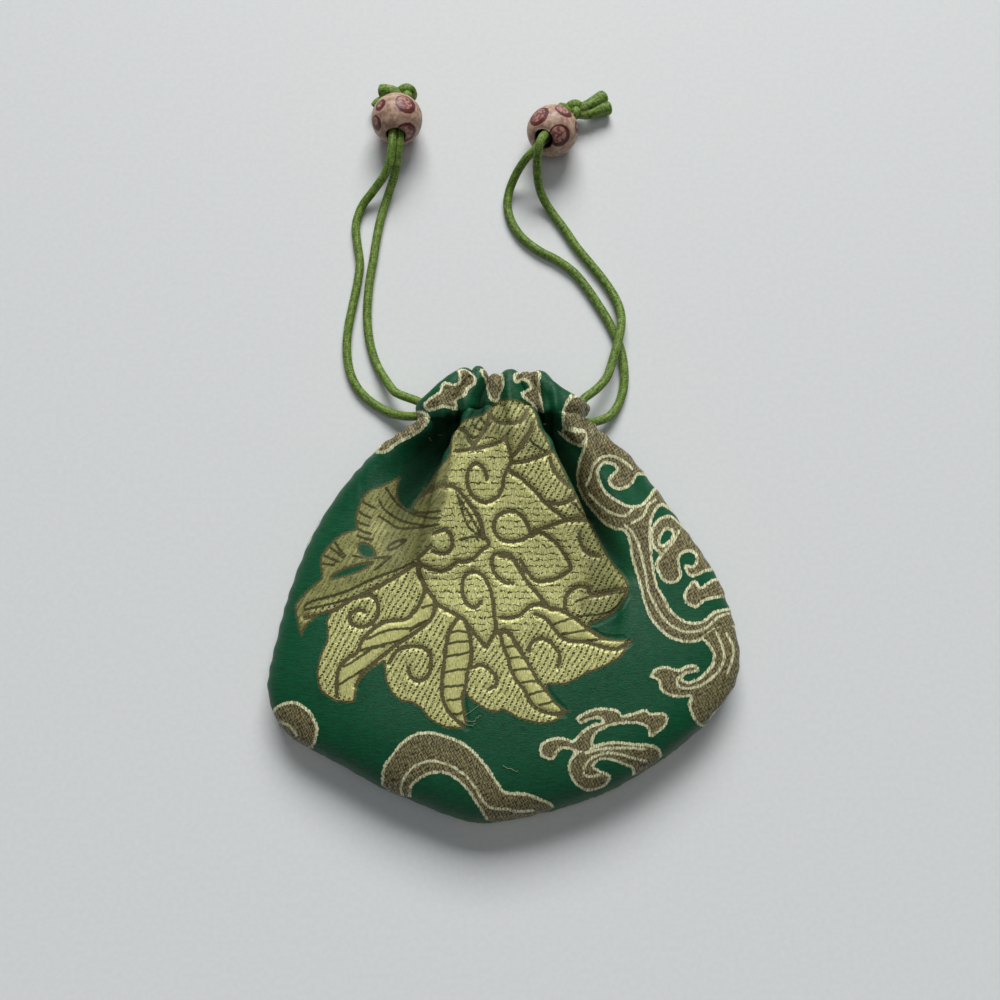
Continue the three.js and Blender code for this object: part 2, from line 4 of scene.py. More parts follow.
import bpy
import numpy as np
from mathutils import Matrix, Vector


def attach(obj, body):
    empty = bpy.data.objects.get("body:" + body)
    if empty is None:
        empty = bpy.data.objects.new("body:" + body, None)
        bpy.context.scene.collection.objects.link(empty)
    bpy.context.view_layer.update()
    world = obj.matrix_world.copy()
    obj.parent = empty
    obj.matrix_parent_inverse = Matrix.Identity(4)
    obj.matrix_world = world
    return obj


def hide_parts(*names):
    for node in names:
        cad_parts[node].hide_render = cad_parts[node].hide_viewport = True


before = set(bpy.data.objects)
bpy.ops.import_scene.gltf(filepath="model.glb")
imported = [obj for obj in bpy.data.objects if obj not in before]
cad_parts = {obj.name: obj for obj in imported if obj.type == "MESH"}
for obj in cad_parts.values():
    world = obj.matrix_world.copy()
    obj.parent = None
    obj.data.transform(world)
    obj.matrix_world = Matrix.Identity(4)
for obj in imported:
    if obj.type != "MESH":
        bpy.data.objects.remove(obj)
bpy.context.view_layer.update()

MM = 0.001

# Cloth sizes of the model, in millimetres
POUCH_WIDTH = 102.6
POUCH_LENGTH = 97.4
BODY_HEIGHT = 17.4
SEAM_HEIGHT = 5.6
CLOTH = 1.0
SEAM_GAP = 0.3
FOLD_RELIEF = 6.4
NECK_WIDTH = 38
MOUTH_CLEAR = 4.8
FRONT_LOBE = 2.3
BACK_LOBE = 1.2
HEM_RIPPLE = 0.4
STITCH_PINCH = 0.6
SLIT_ABOVE = math.radians(20)
SLIT_BELOW = math.radians(50)
CORD = 1.9
CORD_CLEARANCE = 0.3
TUNNEL_CLEARANCE = 0.5
BEAD_WIDTH = 12
BEAD_LENGTH = 10.8
STRAND_FULLNESS = 1.07

HALF_WIDTH = (POUCH_WIDTH - CLOTH) / 2
TUNNEL = CORD / 2 + TUNNEL_CLEARANCE + CLOTH / 2
RING_RADIUS = MOUTH_CLEAR / 2 + HEM_RIPPLE + CLOTH / 2 + TUNNEL
RING_HEIGHT = BACK_LOBE + CLOTH / 2 + TUNNEL + RING_RADIUS
RING_STRAIGHT = NECK_WIDTH / 2 - CLOTH / 2 - TUNNEL - RING_RADIUS
LANE = CORD + 2 * CORD_CLEARANCE
FOLD_START = POUCH_LENGTH / 2 - CLOTH / 2 - TUNNEL - FRONT_LOBE / 2
CASING_DEPTH = LANE + CORD / 2 + CLOTH + TUNNEL_CLEARANCE
BORE = 2 * CORD + 3 * CORD_CLEARANCE

# The camera looks down on the pouch, a little from its bottom side
AIM = (-0.85, 22.8, 0)
DISTANCE = 316.5
ELEVATION = math.radians(78)
LENS = 50
SENSOR = 36
FRAME_WIDTH = 1000

# Free strands from the gathers to the knot, in millimetres
STRANDS = {
    "drawcord_left_strand_a": [(-16.98, 41.4, 10.35), (-17.6, 41.5, 9.1), (-19.4, 42.2, 7.4),
        (-21.9, 43.9, 5.9), (-24.8, 47, 4.1), (-27.2, 50.6, 2.4), (-29.2, 54.2, 1.3), (-30.5, 57.6, 1),
        (-31.4, 61.4, 1), (-31.9, 66.8, 1), (-31.7, 72.7, 1), (-31.3, 76.6, 1), (-30.7, 80.6, 1),
        (-30.1, 85.4, 1), (-29.4, 89.7, 1), (-28.4, 93.7, 1.2), (-27.2, 97, 2.2), (-26, 100.2, 3.6),
        (-25.2, 103, 5.3), (-24.7, 105.8, 6.9), (-24.45, 108.44, 7.3), (-24.3, 113.54, 5.8),
        (-24.2, 118.3, 4.1)],
    "drawcord_left_strand_b": [(-15.6, 41.4, 5.12), (-17, 41.4, 5.75), (-18.9, 41.3, 5.4), (-21, 41.3, 4.5),
        (-23.4, 41.8, 3.1), (-26, 42.9, 1.8), (-28.8, 44.5, 1.1), (-31.6, 46.6, 1), (-33.8, 49.1, 1),
        (-35.3, 52, 1), (-36.2, 55.5, 1), (-36.5, 59.5, 1), (-36.2, 64, 1), (-35.2, 69.8, 1), (-34.3, 75, 1),
        (-33.9, 79.5, 1), (-34.6, 84.5, 1), (-35, 89.3, 1), (-33.6, 93.8, 1.4), (-30.6, 97.2, 3.3),
        (-28, 100.1, 5.4), (-26.7, 102.9, 7.1), (-26.2, 105.8, 8), (-26.1, 109.1, 8.1), (-26.1, 114.26, 6.3),
        (-26.1, 119, 4.5)],
    "drawcord_right_strand_a": [(15.75, 40.36, 10.35), (16.4, 40.45, 9.1), (18.2, 41.1, 7.5), (20.3, 43, 6.2),
        (22.1, 46.4, 5), (23.6, 50.4, 4), (25, 54.6, 3.5), (26.2, 58.8, 3.3), (27.2, 63, 2.9),
        (27.3, 67, 1.9), (26.2, 70.8, 1.2), (23.8, 75, 1), (20.7, 79.2, 1), (17.2, 83.8, 1), (14.6, 87.9, 1),
        (12.2, 91.4, 1), (10.4, 93.8, 1.7), (8.8, 96.4, 3.5), (8, 99, 6), (7.8, 101.3, 8.4),
        (8, 103.3, 10.45), (8.35, 105, 11.3), (8.95, 106.6, 11.05), (9.9, 108.2, 9.85), (11.94, 111.45, 6.95),
        (14.2, 114.95, 3.95)],
    "drawcord_right_strand_b": [(14.4, 40.36, 5.12), (15.8, 40.2, 5.75), (17.7, 39.9, 5.4), (19.8, 39.8, 4.5),
        (22.3, 40.6, 3.1), (24.8, 42.6, 1.8), (26.7, 45.7, 1.1), (27.8, 49.8, 1), (27.9, 54, 1),
        (27.3, 58, 1), (26, 61.8, 1), (24.3, 65.6, 1), (22, 69.6, 1), (19.4, 73.7, 1), (16.4, 77.5, 1),
        (12.6, 80.4, 1), (8.2, 82.9, 1), (4.3, 86.2, 1), (1.8, 90.3, 1), (0.9, 94.6, 1), (1.5, 98, 1.8),
        (2.9, 100.7, 3.9), (4.5, 102.5, 6.3), (5.9, 103.6, 8), (7.2, 104.6, 8.8), (8.3, 105.8, 8.8),
        (9.4, 107.5, 7.7), (11.26, 110.35, 5.2), (12.9, 113, 2.95), (13.95, 114.6, 2.05)],
}
# Each bead's middle and the way its bore runs, towards the pouch
BEADS = {
    "left": {"place": (-25.3, 113.9, 6.05), "bore": (-0.016, -0.945, 0.326)},
    "right": {"place": (11.6, 110.9, 6.05), "bore": (-0.43, -0.687, 0.585)},
}
# Each knot's middle, how wide it is tied, and where its two cut ends run from it
KNOTS = {
    "left": (-24.2, 121.3, 3.9),
    "right": (16.1, 117.4, 3.4),
}
KNOT_SPREAD = (2.4, 1.5, 1.1)
KNOT_CORD = 1.28
KNOT_ENDS = {
    "left": (((-2.6, 0.9, 0.2), (-5.4, 1.4, -0.9)),
             ((-2.8, -0.5, -0.6), (-5.6, -1.6, -1.6), (-6.5, -2.6, -2))),
    "right": (((3.4, 0.9, 0.4), (6.4, 2.9, -0.4), (8.2, 4.4, -1)),
              ((3.6, -0.6, -0.4), (6.8, 0.7, -1), (9.6, 1.6, -1.4))),
}
# How much a knot's cut end widens, and narrows at its tip
TAIL_FLARE = 0.32
TAIL_TIP = 0.3
# A bead's width along its bore, as shares of its half length and half width, and the edges of the
# bore in millimetres
BEAD_CROWN = {
    "along": (1.0, 0.94, 0.74, 0.4, 0, -0.4, -0.74, -0.94, -1.0),
    "out": (0.39, 0.56, 0.76, 0.945, 1, 0.945, 0.76, 0.56, 0.39),
}
BORE_RIM = 0.25
BORE_LIP = 0.15
BORE_INSET = 0.6
BORE_STEPS = 12

# Outline of the cloth, as shares of HALF_WIDTH across and of POUCH_LENGTH along
BOTTOM_SEAM = {
    "at": (0, 0.03, 0.08, 0.15, 0.22, 0.3, 0.38, 0.44, 0.49, 0.58, 0.67, 0.755, 0.825, 0.88, 0.93, 0.97, 1),
    "along": (-0.288, -0.314, -0.342, -0.378, -0.416, -0.449, -0.48, -0.4945, -0.4925, -0.476, -0.451,
              -0.418, -0.378, -0.342, -0.303, -0.266, -0.228),
}
LEFT_SEAM = {
    "at": (0, 0.06, 0.13, 0.28, 0.43, 0.58, 0.73, 0.86, 0.95),
    "across": (-0.943, -0.983, -1, -0.968, -0.917, -0.837, -0.719, -0.561, -0.418),
    "along": (-0.288, -0.246, -0.197, -0.1, 0.01, 0.123, 0.226, 0.313, 0.37),
}
RIGHT_SEAM = {
    "at": (0, 0.05, 0.12, 0.2, 0.3, 0.43, 0.56, 0.68, 0.8, 0.9, 0.96),
    "across": (0.937, 0.978, 1, 0.99, 0.96, 0.909, 0.807, 0.719, 0.6, 0.482, 0.4),
    "along": (-0.228, -0.196, -0.145, -0.09, -0.023, 0.046, 0.129, 0.197, 0.275, 0.333, 0.373),
}
SWELL = {
    "at": (0, 0.25, 0.5, 0.7, 0.88, 1),
    "front": (0.9, 0.92, 0.97, 0.97, 0.95, 0.94),
    "rise": (0, 0, 0, 0.15, 0.7, 1),
}
RING_ACROSS = -0.012
RING_DROP = {"left": 0.038, "right": 0.023}
BOTTOM_ROUND = 0.3
BODY_START = 0.25
SIDE_ROUND = 0.5
BACK_FLAT = 2.6
RING_START = 0.72
SLIT_START = 0.93
FOLD_END = 0.06
FOLD_TOP = 0.97
SWELL_SHAPE = 0.75
PINCH_ONSET = 8
GATHER_FADE = 0.16
CREASE = 0.4
FRONT_PINCH = 1.3

# How much the neck narrows from the shoulders to its top, and how far its two ends are pushed up
SHOULDER_DRAW = (31, 36.5, 39, 42, 0.06)
SHOULDER_FADE = (1.4, 1.7)
NECK_DRAW = (40.5, 46, 0.34)
NECK_LIFT = {"left": (0, 0.7, 0.78, 1.08, 2.6), "right": (0, 0.6, 0.72, 1.0, 1.3)}
NECK_LIFT_FROM = (39.5, 44.5)
NECK_FADE = (1.02, 1.3)
NECK_END = (49, 56)

# Folds of the front: three places down the line of each, the height there, the reach to the
# left and to the right, and the lean
FRONT_FOLDS = {
    "left shoulder": (((-0.31, 0.4), (-0.52, 0.31), (-0.72, 0.18)), (0.2, 0.35, 0), (0.1, 0.08), 0),
    "left hollow": (((-0.2, 0.4), (-0.3, 0.29), (-0.45, 0.13)), (-1.1, -1.4, -0.2), (0.11, 0.05), 0),
    "pleat left crest": (((-0.15, 0.4), (-0.215, 0.27), (-0.36, 0.02)), (0.4, 0.7, 0.05),
                         (0.035, 0.2), -0.35),
    "pleat right crest": (((0.105, 0.4), (0.24, 0.21), (0.455, -0.01)), (0.4, 0.85, 0.2),
                          (0.2, 0.026), 0.4),
    "right hollow": (((0.17, 0.4), (0.31, 0.21), (0.53, 0.01)), (-1.0, -1.25, -0.1), (0.028, 0.07), 0),
    "right shoulder": (((0.27, 0.4), (0.45, 0.25), (0.68, 0.05)), (0.25, 0.3, 0), (0.06, 0.12), 0),
    "side hollow": (((0.305, 0.4), (0.43, 0.3), (0.57, 0.19)), (-0.25, -0.35, 0), (0.035, 0.06), 0),
}
# Gathers of each hem: middle, half width and height
FRONT_GATHERS = (
    (-0.7, 0.22, 0.9), (-0.39, 0.13, 1), (-0.1, 0.08, 0.45), (0.15, 0.18, 1), (0.42, 0.09, 0.5),
    (0.74, 0.26, 0.9),
)
BACK_GATHERS = (
    (-0.78, 0.16, 0.6), (-0.46, 0.16, 1), (-0.14, 0.16, 0.8), (0.18, 0.16, 1), (0.5, 0.16, 0.85),
    (0.82, 0.16, 0.6),
)
# Puckers along the casing and the seams, and the slack of the cloth, in millimetres
CASING_PUCKER = 0.34
SEAM_PUCKER = 0.1
SLACK = (0.16, 0.1)

# The woven motifs, charted in the camera's frame: the flower and the gaps in it, its plain parts
# and its olive parts with their own grain and painted shade, the dark lines and thin veins on it, the clouds,
# and the pale rims inside them
OUTLINES = {
    "flower": [(450, 441), (453, 433), (458, 426), (465, 419), (473, 417), (484, 413), (490, 407), (498, 401),
        (507, 399), (516, 399), (525, 402), (532, 406), (537, 415), (540, 426), (545, 434), (552, 448),
        (559, 459), (568, 479), (581, 504), (596, 532), (610, 559), (619, 570), (627, 580), (629, 588),
        (628, 595), (623, 602), (616, 611), (607, 618), (596, 622), (589, 625), (600, 634), (611, 639),
        (623, 640), (633, 640), (628, 647), (621, 657), (612, 663), (600, 669), (588, 673), (576, 680),
        (566, 684), (556, 685), (548, 685), (551, 696), (558, 704), (565, 709), (571, 711), (566, 714),
        (556, 721), (543, 724), (530, 722), (518, 719), (510, 714), (503, 711), (495, 713), (486, 710),
        (476, 704), (469, 698), (465, 693), (464, 703), (466, 714), (467, 726), (459, 729), (447, 728),
        (436, 724), (426, 716), (421, 709), (413, 704), (401, 701), (393, 695), (387, 685), (384, 673),
        (384, 662), (379, 665), (369, 671), (360, 681), (356, 691), (355, 701), (350, 703), (336, 701),
        (326, 696), (320, 690), (317, 678), (317, 666), (321, 653), (326, 641), (327, 630), (326, 622),
        (330, 613), (318, 616), (310, 622), (304, 630), (301, 637), (298, 627), (296, 617), (295, 606),
        (301, 597), (312, 586), (321, 578), (320, 565), (322, 554), (330, 544), (339, 536), (349, 531),
        (356, 529), (355, 519), (360, 502), (369, 490), (381, 486), (392, 480), (401, 477), (398, 488),
        (399, 499), (406, 508), (414, 511), (411, 509), (421, 492), (430, 481), (439, 467), (449, 454)],
    "flower gap": [(359, 545), (365, 544), (373, 550), (374, 556), (366, 557), (360, 552)],
    "flower slit": [(331, 578), (342, 571), (360, 565), (372, 563), (360, 570), (346, 575)],
}
HATCHED = {
    "sash": [(417, 576), (425, 588), (434, 599), (432, 611), (421, 628), (408, 637), (396, 645), (385, 653),
        (376, 661), (362, 672), (356, 685), (355, 699), (344, 695), (337, 695), (337, 679), (339, 669),
        (346, 660), (357, 652), (362, 641), (371, 631), (385, 622), (406, 619), (415, 608), (422, 597)],
    "left leaf": [(463, 619), (469, 633), (471, 645), (471, 660), (467, 674), (465, 690), (461, 693),
        (464, 714), (467, 727), (456, 719), (447, 709), (442, 696), (442, 681), (444, 666), (445, 650),
        (449, 633), (456, 620)],
    "middle leaf": [(505, 632), (510, 636), (517, 646), (525, 658), (532, 670), (538, 681), (546, 690),
        (555, 701), (564, 710), (556, 713), (546, 712), (536, 706), (529, 698), (525, 690), (517, 680),
        (511, 668), (508, 656), (504, 645), (501, 633)],
    "right leaf": [(543, 607), (555, 608), (570, 615), (580, 622), (590, 630), (603, 638), (626, 640),
        (616, 648), (603, 646), (586, 641), (573, 640), (561, 636), (553, 627), (547, 617)],
}
# Olive part of the flower: its own slanted grain, with painted shade where the cloth turns away from the
# light
OLIVE_SHADE = {
    "fan": [(412, 511), (421, 492), (431, 478), (449, 454), (455, 460), (448, 485), (449, 499), (440, 517),
        (435, 533), (426, 547), (417, 560), (385, 578), (353, 595), (314, 611), (305, 636), (287, 619),
        (290, 592), (314, 574), (314, 540), (346, 526), (349, 494), (374, 481), (406, 470), (403, 502)],
}
STROKES = {
    "leaf foot": [(305, 618), (320, 615), (335, 610), (351, 600), (375, 588), (397, 576), (416, 564)],
    "valley edge": [(409, 508), (421, 496), (437, 488), (446, 484)],
    "cap": [(489, 412), (492, 417), (498, 422), (509, 423), (519, 422), (525, 417), (527, 410)],
    "left leaf side": [(490, 406), (489, 416), (485, 429), (480, 437), (474, 445)],
    "left scroll": [(460, 429), (467, 433), (469, 440), (474, 446)],
    "shoulder": [(456, 451), (466, 450), (479, 448), (491, 445), (501, 441), (505, 436)],
    "stem": [(505, 436), (507, 443), (510, 451), (511, 461), (508, 469), (504, 477), (502, 489), (497, 497),
        (487, 502), (476, 499), (469, 490), (467, 479), (469, 469), (476, 463), (484, 469), (487, 479)],
    "right branch": [(512, 462), (522, 462), (532, 459), (542, 456), (554, 450)],
    "right scroll": [(533, 423), (529, 434), (523, 444), (518, 451), (512, 456)],
    "long branch": [(509, 471), (521, 478), (529, 485), (536, 492), (542, 499), (549, 506), (559, 514),
        (568, 520), (581, 520), (592, 521)],
    "right petal": [(549, 502), (557, 504), (567, 502), (577, 496)],
    "right rim": [(550, 458), (554, 471), (561, 479), (570, 488)],
    "wheel": [(510, 511), (500, 514), (494, 522), (496, 534), (505, 541), (518, 541), (529, 536), (537, 532)],
    "wheel top": [(508, 511), (518, 513), (525, 520), (529, 528), (531, 535)],
    "star side": [(446, 486), (456, 488), (464, 497), (474, 509), (481, 522), (484, 536), (489, 544),
        (481, 551), (474, 558), (465, 562), (456, 562)],
    "ball": [(434, 533), (446, 530), (452, 538), (451, 549), (444, 554), (433, 551)],
    "bean": [(431, 545), (425, 552), (418, 559), (424, 566), (437, 571), (449, 569), (456, 562)],
    "swirl": [(517, 565), (512, 557), (501, 553), (493, 556), (492, 565), (496, 575), (504, 582), (513, 583)],
    "heart": [(481, 602), (474, 608), (465, 601), (462, 588), (464, 577), (472, 571), (482, 575), (489, 586),
        (493, 601), (494, 615), (496, 628), (491, 640), (486, 647)],
    "trunk": [(418, 563), (422, 579), (431, 595), (440, 606), (453, 613), (464, 620), (474, 633), (486, 647)],
    "sash top": [(418, 563), (419, 576), (425, 588), (421, 601), (414, 612), (406, 619), (385, 622),
        (371, 631), (362, 641), (357, 653), (346, 660), (339, 669), (337, 679), (337, 697)],
    "sash foot": [(434, 597), (435, 606), (431, 619), (421, 628), (408, 638), (396, 645), (385, 654),
        (376, 661), (362, 674), (356, 686)],
    "curl": [(365, 612), (357, 610), (350, 615), (352, 624), (360, 627), (371, 624), (378, 614), (377, 602),
        (371, 595), (360, 597)],
    "loop": [(389, 663), (396, 652), (406, 647), (421, 647), (429, 652), (431, 663), (428, 676), (420, 681),
        (411, 677), (408, 667)],
    "leaf left side": [(459, 616), (449, 633), (446, 647), (444, 663), (442, 681), (442, 695), (442, 681),
        (442, 695), (447, 709), (456, 720), (466, 727)],
    "leaf right side": [(464, 619), (469, 633), (471, 645), (471, 660), (467, 674), (465, 690), (463, 693),
        (464, 708), (467, 727)],
    "small curl": [(471, 668), (480, 665), (489, 669), (496, 677), (496, 685), (489, 689)],
    "leaf shoulder": [(498, 633), (503, 629), (510, 633), (515, 642), (521, 650)],
    "middle leaf left": [(500, 632), (503, 645), (508, 658), (511, 670), (517, 681), (525, 691), (529, 700),
        (536, 708), (548, 713), (564, 714)],
    "middle leaf right": [(503, 630), (510, 635), (517, 646), (525, 658), (532, 670), (538, 681), (546, 690),
        (554, 700), (564, 710)],
    "round curl": [(529, 651), (530, 645), (537, 639), (547, 640), (556, 648), (560, 657), (558, 667)],
    "right leaf foot": [(535, 614), (545, 618), (553, 627), (561, 637), (571, 641), (586, 642), (603, 647),
        (616, 649), (629, 643)],
    "right leaf top": [(555, 608), (570, 615), (580, 622), (590, 630), (603, 638), (623, 639)],
    "scallop": [(500, 617), (510, 618), (520, 615), (528, 608), (537, 604), (546, 607), (553, 610)],
    "middle branch": [(500, 556), (511, 558), (520, 570), (527, 582), (537, 593), (546, 604), (551, 609)],
    "tip fold": [(566, 612), (565, 600), (570, 591), (579, 586), (588, 588), (591, 595), (607, 593),
        (618, 589), (628, 590)],
    "tip rim": [(619, 570), (627, 581), (629, 588), (625, 599), (616, 611), (600, 621), (589, 625)],
    "oval": [(532, 536), (539, 532), (550, 538), (559, 546), (566, 557), (571, 568), (561, 576), (548, 581),
        (536, 581), (527, 571), (520, 559)],
    "cross branch": [(532, 532), (546, 527), (561, 522), (577, 518), (590, 521)],
    "right oval": [(579, 534), (582, 546), (589, 554), (600, 556)],
}
VEINS = {
    "fan rib 1": [(386, 488), (391, 496), (397, 504), (405, 510), (415, 515), (429, 518), (440, 518)],
    "fan rib 2": [(379, 500), (383, 508), (391, 515), (401, 521), (413, 524), (429, 526), (439, 524)],
    "fan rib 3": [(379, 516), (389, 523), (397, 528), (407, 529), (417, 528), (427, 527)],
    "fan edge": [(401, 504), (407, 510), (421, 513), (441, 511)],
    "leaf eye": [(388, 548), (393, 543), (399, 541), (406, 540), (401, 545), (394, 549), (388, 550)],
    "leaf ear": [(353, 556), (365, 558), (378, 558), (391, 557), (385, 562), (375, 570)],
    "leaf rib": [(305, 606), (311, 602), (328, 597), (345, 592), (375, 578), (397, 570), (414, 562)],
    "leaf rib low": [(305, 610), (335, 603), (365, 594), (389, 582), (414, 566)],
    "ear 1": [(333, 539), (339, 548), (345, 556)],
    "ear 2": [(328, 546), (336, 552), (343, 558)],
    "ear 3": [(325, 556), (332, 559), (339, 562)],
    "ear 4": [(323, 564), (329, 565), (335, 565)],
    "plume 1": [(361, 500), (368, 505), (375, 508)],
    "plume 2": [(357, 510), (364, 515), (371, 518)],
    "plume 3": [(355, 520), (362, 524), (369, 526)],
    "plume 4": [(356, 528), (364, 532), (371, 534)],
    "plume 5": [(358, 536), (366, 539), (373, 540)],
    "star": [(456, 492), (465, 508), (472, 519), (482, 537)],
    "star low": [(459, 540), (471, 537), (483, 538)],
    "star outer": [(465, 498), (477, 517), (485, 540)],
    "petal": [(457, 494), (462, 511), (468, 526), (481, 538)],
    "cap leaf 1": [(481, 419), (485, 423), (490, 424)],
    "cap leaf 2": [(473, 425), (479, 430), (484, 429)],
    "cap leaf 3": [(466, 433), (473, 437), (480, 436)],
    "petal vein": [(575, 503), (580, 511), (589, 519)],
    "right vein": [(530, 440), (538, 447), (547, 452)],
    "right vein low": [(573, 503), (581, 511), (588, 518)],
    "sash 1": [(422, 608), (428, 606), (434, 605)],
    "sash 2": [(410, 631), (417, 625), (427, 621)],
    "sash 3": [(367, 639), (389, 630), (412, 628), (426, 622)],
    "sash 4": [(359, 651), (381, 645), (401, 640), (417, 631)],
    "sash 5": [(344, 667), (360, 657), (374, 648), (385, 646)],
    "sash 6": [(337, 686), (353, 676), (365, 669)],
    "leaf 1": [(449, 633), (458, 631), (469, 632)],
    "leaf 2": [(447, 644), (458, 642), (471, 641)],
    "leaf 3": [(445, 657), (456, 655), (471, 652)],
    "leaf 4": [(444, 673), (456, 670), (468, 669)],
    "leaf 5": [(442, 687), (455, 686), (465, 685)],
    "leaf 6": [(447, 700), (456, 700), (463, 698)],
    "leaf 7": [(452, 714), (459, 714), (464, 711)],
    "mid 1": [(507, 647), (512, 646), (517, 646)],
    "mid 2": [(509, 659), (517, 657), (524, 658)],
    "mid 3": [(512, 671), (522, 669), (530, 669)],
    "mid 4": [(522, 683), (532, 681), (538, 682)],
    "mid 5": [(529, 695), (538, 692), (546, 691)],
    "mid 6": [(539, 705), (548, 703), (554, 701)],
    "right 1": [(553, 625), (560, 622), (573, 618)],
    "right 2": [(562, 634), (575, 632), (588, 630)],
    "right 3": [(583, 641), (593, 640), (603, 639)],
    "tip 1": [(575, 602), (586, 598), (604, 595), (625, 592)],
    "tip 2": [(577, 616), (593, 615), (611, 611), (623, 600)],
}
CLOUDS = {
    "neck left": [(421, 412), (427, 420), (423, 428), (412, 436), (398, 443), (386, 452), (376, 452),
        (392, 432), (412, 413)],
    "gather left": [(452, 384), (457, 377), (458, 369), (468, 370), (472, 378), (471, 384), (465, 388),
        (462, 395), (453, 400), (454, 409), (440, 406), (426, 410), (421, 404), (430, 396), (437, 391),
        (438, 385), (441, 382)],
    "gather middle": [(480, 371), (488, 366), (498, 369), (503, 377), (504, 385), (500, 393), (496, 402),
        (491, 400), (487, 392), (484, 383)],
    "gather right": [(514, 376), (523, 368), (536, 368), (542, 378), (542, 393), (544, 408), (545, 424),
        (540, 416), (534, 404), (525, 398), (522, 393), (528, 391), (533, 388), (531, 382), (524, 380),
        (517, 382)],
    "gather edge": [(574, 395), (581, 407), (578, 416), (571, 427), (567, 424), (572, 413), (570, 403)],
    "band": [(584, 396), (570, 400), (565, 411), (564, 427), (584, 432), (585, 445), (579, 462), (577, 477),
        (579, 489), (586, 502), (596, 514), (607, 525), (616, 529), (625, 531), (630, 543), (632, 557),
        (636, 571), (641, 588), (645, 605), (652, 620), (661, 630), (671, 638), (686, 642), (700, 640),
        (714, 630), (730, 627), (754, 621), (754, 600), (727, 609), (714, 612), (705, 620), (695, 623),
        (684, 621), (671, 611), (664, 598), (657, 586), (654, 573), (652, 561), (651, 548), (650, 536),
        (651, 521), (655, 511), (661, 505), (669, 508), (680, 514), (686, 500), (657, 468), (625, 439),
        (607, 418)],
    "comma": [(598, 475), (599, 468), (605, 463), (614, 465), (617, 470), (611, 476), (609, 482), (614, 488),
        (623, 489), (632, 483), (638, 474), (654, 479), (661, 486), (654, 490), (649, 497), (641, 505),
        (629, 506), (616, 500), (605, 491)],
    "scroll": [(651, 536), (654, 525), (661, 518), (671, 516), (680, 523), (696, 536), (714, 561), (714, 569),
        (705, 571), (696, 576), (689, 575), (685, 566), (693, 566), (697, 559), (693, 552), (684, 552),
        (679, 557), (679, 566), (681, 575), (676, 582), (666, 582), (661, 577), (657, 568), (657, 561),
        (661, 555), (654, 548)],
    "scroll eye": [(666, 529), (672, 531), (672, 538), (667, 543), (661, 546), (659, 540)],
    "hook": [(695, 581), (700, 588), (712, 580), (732, 579), (732, 593), (705, 600), (696, 607), (689, 605),
        (684, 598), (687, 589)],
    "head": [(701, 637), (707, 643), (713, 653), (713, 663), (706, 672), (699, 678), (689, 682), (682, 680),
        (683, 675), (691, 672), (698, 671), (696, 666), (687, 666), (679, 670), (666, 667), (656, 669),
        (651, 676), (659, 681), (661, 689), (669, 695), (682, 697), (691, 696), (689, 704), (692, 714),
        (698, 724), (706, 726), (714, 714), (729, 700), (745, 680), (749, 655), (735, 625), (719, 625)],
    "branch": [(540, 750), (543, 743), (551, 739), (563, 738), (573, 741), (583, 731), (593, 725), (603, 722),
        (600, 718), (590, 719), (581, 723), (577, 719), (583, 714), (595, 709), (608, 709), (618, 711),
        (623, 716), (634, 713), (646, 710), (650, 714), (659, 713), (667, 716), (666, 724), (659, 731),
        (650, 736), (648, 728), (641, 724), (629, 723), (616, 724), (606, 727), (596, 733), (592, 741),
        (593, 748), (583, 753), (576, 751), (566, 748), (558, 750), (553, 759), (546, 758), (541, 755)],
    "paisley": [(593, 747), (606, 743), (619, 742), (633, 744), (649, 745), (658, 748), (661, 755),
        (659, 766), (646, 779), (633, 776), (633, 769), (623, 764), (613, 760), (603, 759), (596, 762),
        (593, 766), (600, 771), (610, 776), (606, 784), (596, 789), (586, 790), (576, 784), (570, 774),
        (569, 763), (575, 754), (583, 750)],
    "arch": [(382, 786), (384, 767), (393, 754), (404, 741), (418, 733), (434, 733), (451, 738), (464, 744),
        (476, 754), (487, 767), (497, 782), (505, 792), (520, 793), (515, 793), (527, 794), (540, 799),
        (553, 806), (550, 821), (517, 835), (492, 832), (486, 818), (477, 804), (467, 789), (456, 779),
        (446, 773), (432, 773), (419, 779), (411, 787), (410, 797), (403, 814), (379, 809)],
    "corner": [(275, 709), (283, 704), (293, 702), (303, 706), (311, 714), (317, 726), (316, 738), (312, 747),
        (300, 753), (282, 743), (270, 723)],
    "neck right": [(559, 431), (566, 428), (574, 431), (587, 432), (587, 438), (581, 446), (573, 443),
        (566, 439)],
}
RIMS = {
    "band": [(586, 486), (591, 475), (593, 466), (600, 458), (611, 456), (623, 461), (632, 469)],
    "band low": [(589, 493), (600, 505), (614, 514), (625, 516), (630, 512), (638, 502)],
    "band stem": [(625, 525), (635, 536), (641, 554), (645, 571), (648, 589), (655, 605), (666, 621),
        (679, 630), (693, 632), (707, 627), (718, 617), (730, 613)],
    "band inner": [(632, 523), (643, 516), (648, 505), (655, 500)],
    "scroll": [(679, 531), (672, 543), (664, 552), (658, 559)],
    "scroll low": [(679, 567), (680, 575), (676, 582)],
    "head": [(716, 632), (722, 646), (724, 658), (719, 670), (709, 680), (696, 687), (682, 688), (677, 684),
        (679, 677), (687, 673)],
    "head side": [(726, 633), (733, 648), (732, 660), (727, 673)],
    "paisley": [(647, 761), (633, 758), (619, 754), (606, 753), (593, 757), (585, 765), (583, 772),
        (587, 776), (600, 775)],
    "paisley top": [(646, 749), (633, 748), (616, 748), (600, 749), (585, 753)],
    "arch": [(403, 797), (401, 786), (408, 772), (418, 764), (431, 761), (444, 763), (457, 769), (471, 781),
        (479, 794), (489, 807), (509, 809), (510, 810), (522, 811), (533, 810)],
    "corner": [(281, 722), (290, 726), (297, 735)],
}


